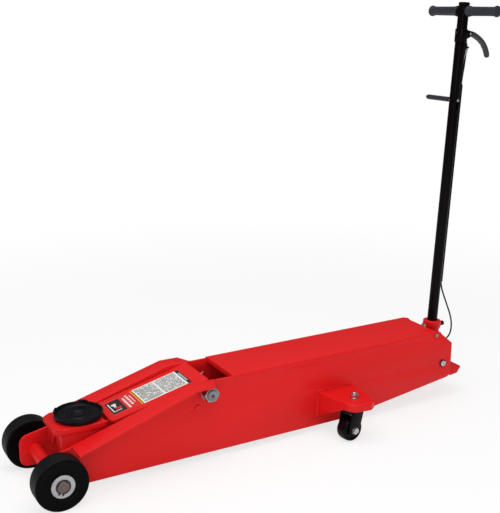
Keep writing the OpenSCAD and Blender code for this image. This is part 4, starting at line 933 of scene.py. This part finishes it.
# handle: grips
gripSet = {"end": 154.0, "s": 1156.0, "flutes": 9, "fluteDeep": 1.1, "fluteFrom": 10, "fluteTo": 122, "steps": 90,
           "line": [(0, 6.0), (0.2, 12.0), (0.5, 15.0), (1.2, 16.4), (2.6, 17.3), (4.6, 17.4), (6.6, 16.6), (9, 15.3),
                    (12, 14.5), (16, 14.2), (30, 14.1), (50, 14.2), (70, 14.3), (90, 14.4), (106, 14.5), (116, 14.9),
                    (121, 15.8), (125, 17.0), (128, 17.4), (130.6, 17.2), (131.6, 16.2), (132, 14.5), (132, 11.1)]}
gripRings = []
for z, radius in gripSet["line"]:
    fade = max(0.0, min(1.0, (z - gripSet["fluteFrom"]) / 8)) * max(0.0, min(1.0, (gripSet["fluteTo"] - z) / 10))
    ring = []
    for i in range(gripSet["steps"]):
        angle = 360 * i / gripSet["steps"]
        dip = gripSet["fluteDeep"] * fade * max(0.0, around(1, gripSet["flutes"] * angle)[0]) ** 0.6
        ring.append((*around(radius - dip, angle), z))
    gripRings.append(ring)
gripParts = [lofted("grip", gripRings, outward(0, side * gripSet["end"], gripSet["s"], side, handleFrame)
                    @ spun(180, "X")) for side, label in sides]
assembled("handGrips", gripParts, 50, "handle", "gripRubber", "hand_grips")

# handle: squeeze lever, a cast lever with finger notches
leverSet = {"notch": 1.7, "from": 0.26, "run": 0.5, "notches": 4, "round": 0.62, "steps": 28, "line": [
    (22.6, 1087.0, 5.2, 8.4), (25, 1087.4, 6.2, 9.6), (31, 1088.4, 7.4, 10.6), (39, 1087.8, 8.0, 11),
    (47, 1086.0, 8.2, 11), (55, 1083.2, 8.2, 11), (63, 1079.6, 8.0, 11), (71, 1075.6, 7.8, 11), (79, 1071.0, 7.5, 11),
    (87, 1065.8, 7.3, 11), (94, 1059.8, 7.1, 10.9), (100.5, 1053.0, 6.9, 10.7), (106, 1045.6, 6.8, 10.4),
    (111, 1037.6, 6.7, 10.0), (115, 1030.0, 6.7, 9.6), (117.6, 1023.2, 6.6, 9.0), (118.8, 1018.6, 5.6, 8.0),
    (119.4, 1015.8, 3.8, 6.0), (119.7, 1014.6, 1.2, 2.6)]}  # along the lever: x, s, half height and half width
leverStations = smoothPath([Vector((x, s, half)) for x, s, half, wide in leverSet["line"]], 4)
leverWidths = smoothPath([Vector((wide, 0, 0)) for x, s, half, wide in leverSet["line"]], 4)
leverRings = []
for i, spot in enumerate(leverStations):
    ahead = leverStations[min(i + 1, len(leverStations) - 1)] - leverStations[max(i - 1, 0)]
    along = Vector((ahead.x, ahead.y)).normalized()
    share = (i / (len(leverStations) - 1) - leverSet["from"]) / leverSet["run"]
    notch = 0.0
    if 0 < share < 1:
        notch = leverSet["notch"] * math.sin(math.pi * share) * abs(math.sin(math.pi * leverSet["notches"] * share))
    ring = []
    for k in range(leverSet["steps"]):
        c, s = around(1, 360 * k / leverSet["steps"])
        up = math.copysign(abs(s) ** leverSet["round"], s) * (spot.z - (notch if s < 0 else 0))
        across = math.copysign(abs(c) ** leverSet["round"], c) * leverWidths[i].x
        ring.append((spot.x - along.y * up, across, spot.y + along.x * up))
    leverRings.append(ring)
fitted(smoothed(lofted("squeezeLever", leverRings, handleFrame), 60), "squeeze_lever", "leverIron", "squeeze_lever")
leverPin = {"x": 27, "s": 1087, "half": [(0, -15.6), (3.6, -15.6), (4.4, -15), (4.4, -14.5), (2.9, -14.5)]}
leverPin["profile"] = leverPin["half"] + [(r, -z) for r, z in reversed(leverPin["half"])]
fitted(smoothed(turned("leverPin", leverPin["profile"], 36, outward(leverPin["x"], 0, leverPin["s"], 1, handleFrame)),
                35), "handle", "zincPlate")

# handle: cable adjuster and upper cable
adjusterSet = {"x": 27.0, "lowNut": 1036, "highNut": 1046.4, "stem": [(0, 1035), (2.9, 1035), (2.9, 1056), (2.2, 1057),
                                                                     (0, 1057)],
               "barrel": [(2.8, 1019), (3.8, 1019.4), (4.6, 1024), (5, 1028), (5, 1035.6), (2.8, 1035.6)],
               "cable": [(27, 1026), (27, 1009), (26, 987), (23.5, 960), (22, 937), (22, 922)]}
adjusterFrame = handleFrame @ moved(adjusterSet["x"], 0, 0)
adjusterParts = [turned("barrel", adjusterSet["barrel"], 40, adjusterFrame),
                 turned("lowNut", nutProfile(10.5, 4.6, 3, adjusterSet["lowNut"]), 36, adjusterFrame),
                 turned("highNut", nutProfile(10.5, 4.2, 3, adjusterSet["highNut"]), 36, adjusterFrame),
                 turned("stem", adjusterSet["stem"], 32, adjusterFrame)]
assembled("cableAdjuster", adjusterParts, 35, "handle", "zincPlate", "cable_adjuster")
upperLine = smoothPath([onHandle(x, 0, s) for x, s in adjusterSet["cable"]])
fitted(tube("upperCable", upperLine, cableSet["radius"], "cableBlack"), "handle", "cableBlack")

# handle: lock lever's grip, clamp bolt and the band's screw
lockSet = {"s": 875, "profile": [(4.55, 28), (7.2, 28), (7.9, 28.8), (8, 31), (8, 128), (7.6, 132), (5.4, 137.4),
                                 (3.6, 139.4), (1.5, 140), (0, 140), (0, 134.2), (4.55, 134.1)]}
lockGrip = turned("lockGrip", lockSet["profile"], 48, handleFrame @ moved(0, 0, lockSet["s"]) @ spun(-90, "X"))
fitted(smoothed(lockGrip, 40), "lock_lever", "gripRubber", "lock_grip")
clampSet = {"s": 109, "head": 38.2, "nut": -39.8, "tube": 17.3, "rear": 39, "shank": 4.9}
across = handleFrame @ moved(0, 0, clampSet["s"]) @ spun(90, "Y")
clampHead = turned("clampHead", headProfile(8, 11.6, 3.6, clampSet["head"]), 48, across)
clampParts = [
    turned("rearShank", rodProfile(clampSet["shank"], clampSet["tube"], clampSet["rear"]), 36, across),
    turned("frontShank", [(0, -41.6), (4, -41.6), (4.9, -40.8), (4.9, -17.3), (0, -17.3)], 36, across),
    turned("nut", nutProfile(15, 7.6, 4.8, clampSet["nut"]), 36, across)]
assembled("clampBolt", clampParts, 35, "handle", "zincPlate", "clamp_bolt")
fitted(smoothed(clampHead, 35), "handle", "darkSteel", slotName="black_paint")
bandSet = {"x": -19.7, "s": 1088, "radius": 4.4, "height": 4.2, "key": 1.8}
bandScrew = turned("bandScrew", headProfile(bandSet["radius"], bandSet["height"], bandSet["key"]), 36,
                   handleFrame @ moved(bandSet["x"], 0, bandSet["s"]) @ spun(-90, "Y"))
fitted(smoothed(bandScrew, 35), "handle", "darkSteel", slotName="black_paint")
print("handle made")

# floor, backdrop and lights
floorSet = {"size": 30.0, "near": 1.1, "far": 3.2, "veil": 0.74}
floorMaterial, floorBench, floorShader = newFinish("paleFloor", {"Roughness": 0.9, "Specular IOR Level": 0.1})
spot = floorBench.add("ShaderNodeTexCoord", out="Object")
floorTone = floorBench.noise(spot, 1.2, 2.0)
floorBench.tree.links.new(floorBench.mixed(floorTone, (0.93, 0.93, 0.93, 1), (0.95, 0.95, 0.95, 1)).socket,
                          floorShader.inputs["Base Color"])
away = floorBench.add("ShaderNodeVectorMath", {"operation": "LENGTH"}, {0: spot}, out="Value")
share = floorBench.add("ShaderNodeMapRange", {"interpolation_type": "SMOOTHSTEP"}, {
    "Value": away, "From Min": floorSet["near"], "From Max": floorSet["far"], "To Min": floorSet["veil"],
    "To Max": 1.0})
seen = floorBench.add("ShaderNodeLightPath", out="Is Camera Ray")
white = floorBench.add("ShaderNodeEmission", {}, {"Color": (1, 1, 1, 1), "Strength": 1.0})
blend = floorBench.add("ShaderNodeMixShader", {}, {
    0: seen * share, 1: Wire(floorBench, floorShader.outputs[0]), 2: white})
floorBench.tree.links.new(blend.socket, floorBench.tree.nodes["Material Output"].inputs["Surface"])
reach = floorSet["size"]
floor = newPiece("studioFloor", [(x, y, 0) for x, y in upright(-reach, reach, -reach, reach)], [(0, 1, 2, 3)])
floor.data.materials.append(floorMaterial)
floor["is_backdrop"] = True

worldSet = {"soft": 0.56, "sheen": 0.07, "glow": 0.5}  # light on matt faces, in reflections low down and overhead
world = bpy.data.worlds.new("studio")
scene.world = world
world.use_nodes = True
sky = Bench(world.node_tree)
rays = sky.add("ShaderNodeLightPath")
height = sky.add("ShaderNodeSeparateXYZ", {}, {0: sky.add("ShaderNodeTexCoord", out="Generated")}, out="Z")
glow = sky.add("ShaderNodeMapRange", {"interpolation_type": "SMOOTHSTEP"}, {
    "Value": height, "From Min": 0.25, "From Max": 0.95, "To Min": worldSet["sheen"], "To Max": worldSet["glow"]})
matt, mirror, plain = [sky.add("ShaderNodeBackground", {}, {"Color": (1, 1, 1, 1), "Strength": strength})
                       for strength in (worldSet["soft"], glow, 1.0)]
lit = sky.add("ShaderNodeMixShader", {}, {0: rays.out("Is Glossy Ray"), 1: matt, 2: mirror})
lit = sky.add("ShaderNodeMixShader", {}, {0: rays.out("Is Camera Ray"), 1: lit, 2: plain})
sky.tree.links.new(lit.socket, sky.tree.nodes["World Output"].inputs["Surface"])


def softbox(name, place, target, size, power):
    lamp = bpy.data.lights.new(name, "AREA")
    lamp.shape, lamp.size, lamp.size_y, lamp.energy = "RECTANGLE", size[0], size[1], power
    holder = inScene(name, lamp)
    holder.location = place
    holder.rotation_euler = (Vector(target) - Vector(place)).to_track_quat("-Z", "Y").to_euler()


softbox("topBox", (-0.5, -0.6, 3.4), (0, 0, 0), (3.0, 2.2), 60)
softbox("frontBox", (-2.0, -3.0, 2.0), (0, 0, 0.3), (1.6, 1.6), 21)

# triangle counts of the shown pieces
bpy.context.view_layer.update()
triangles = {o.name: sum(len(p.vertices) - 2 for p in o.data.polygons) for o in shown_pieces() if o.type == "MESH"}
print("pieces:", len(triangles), "triangles:", sum(triangles.values()))
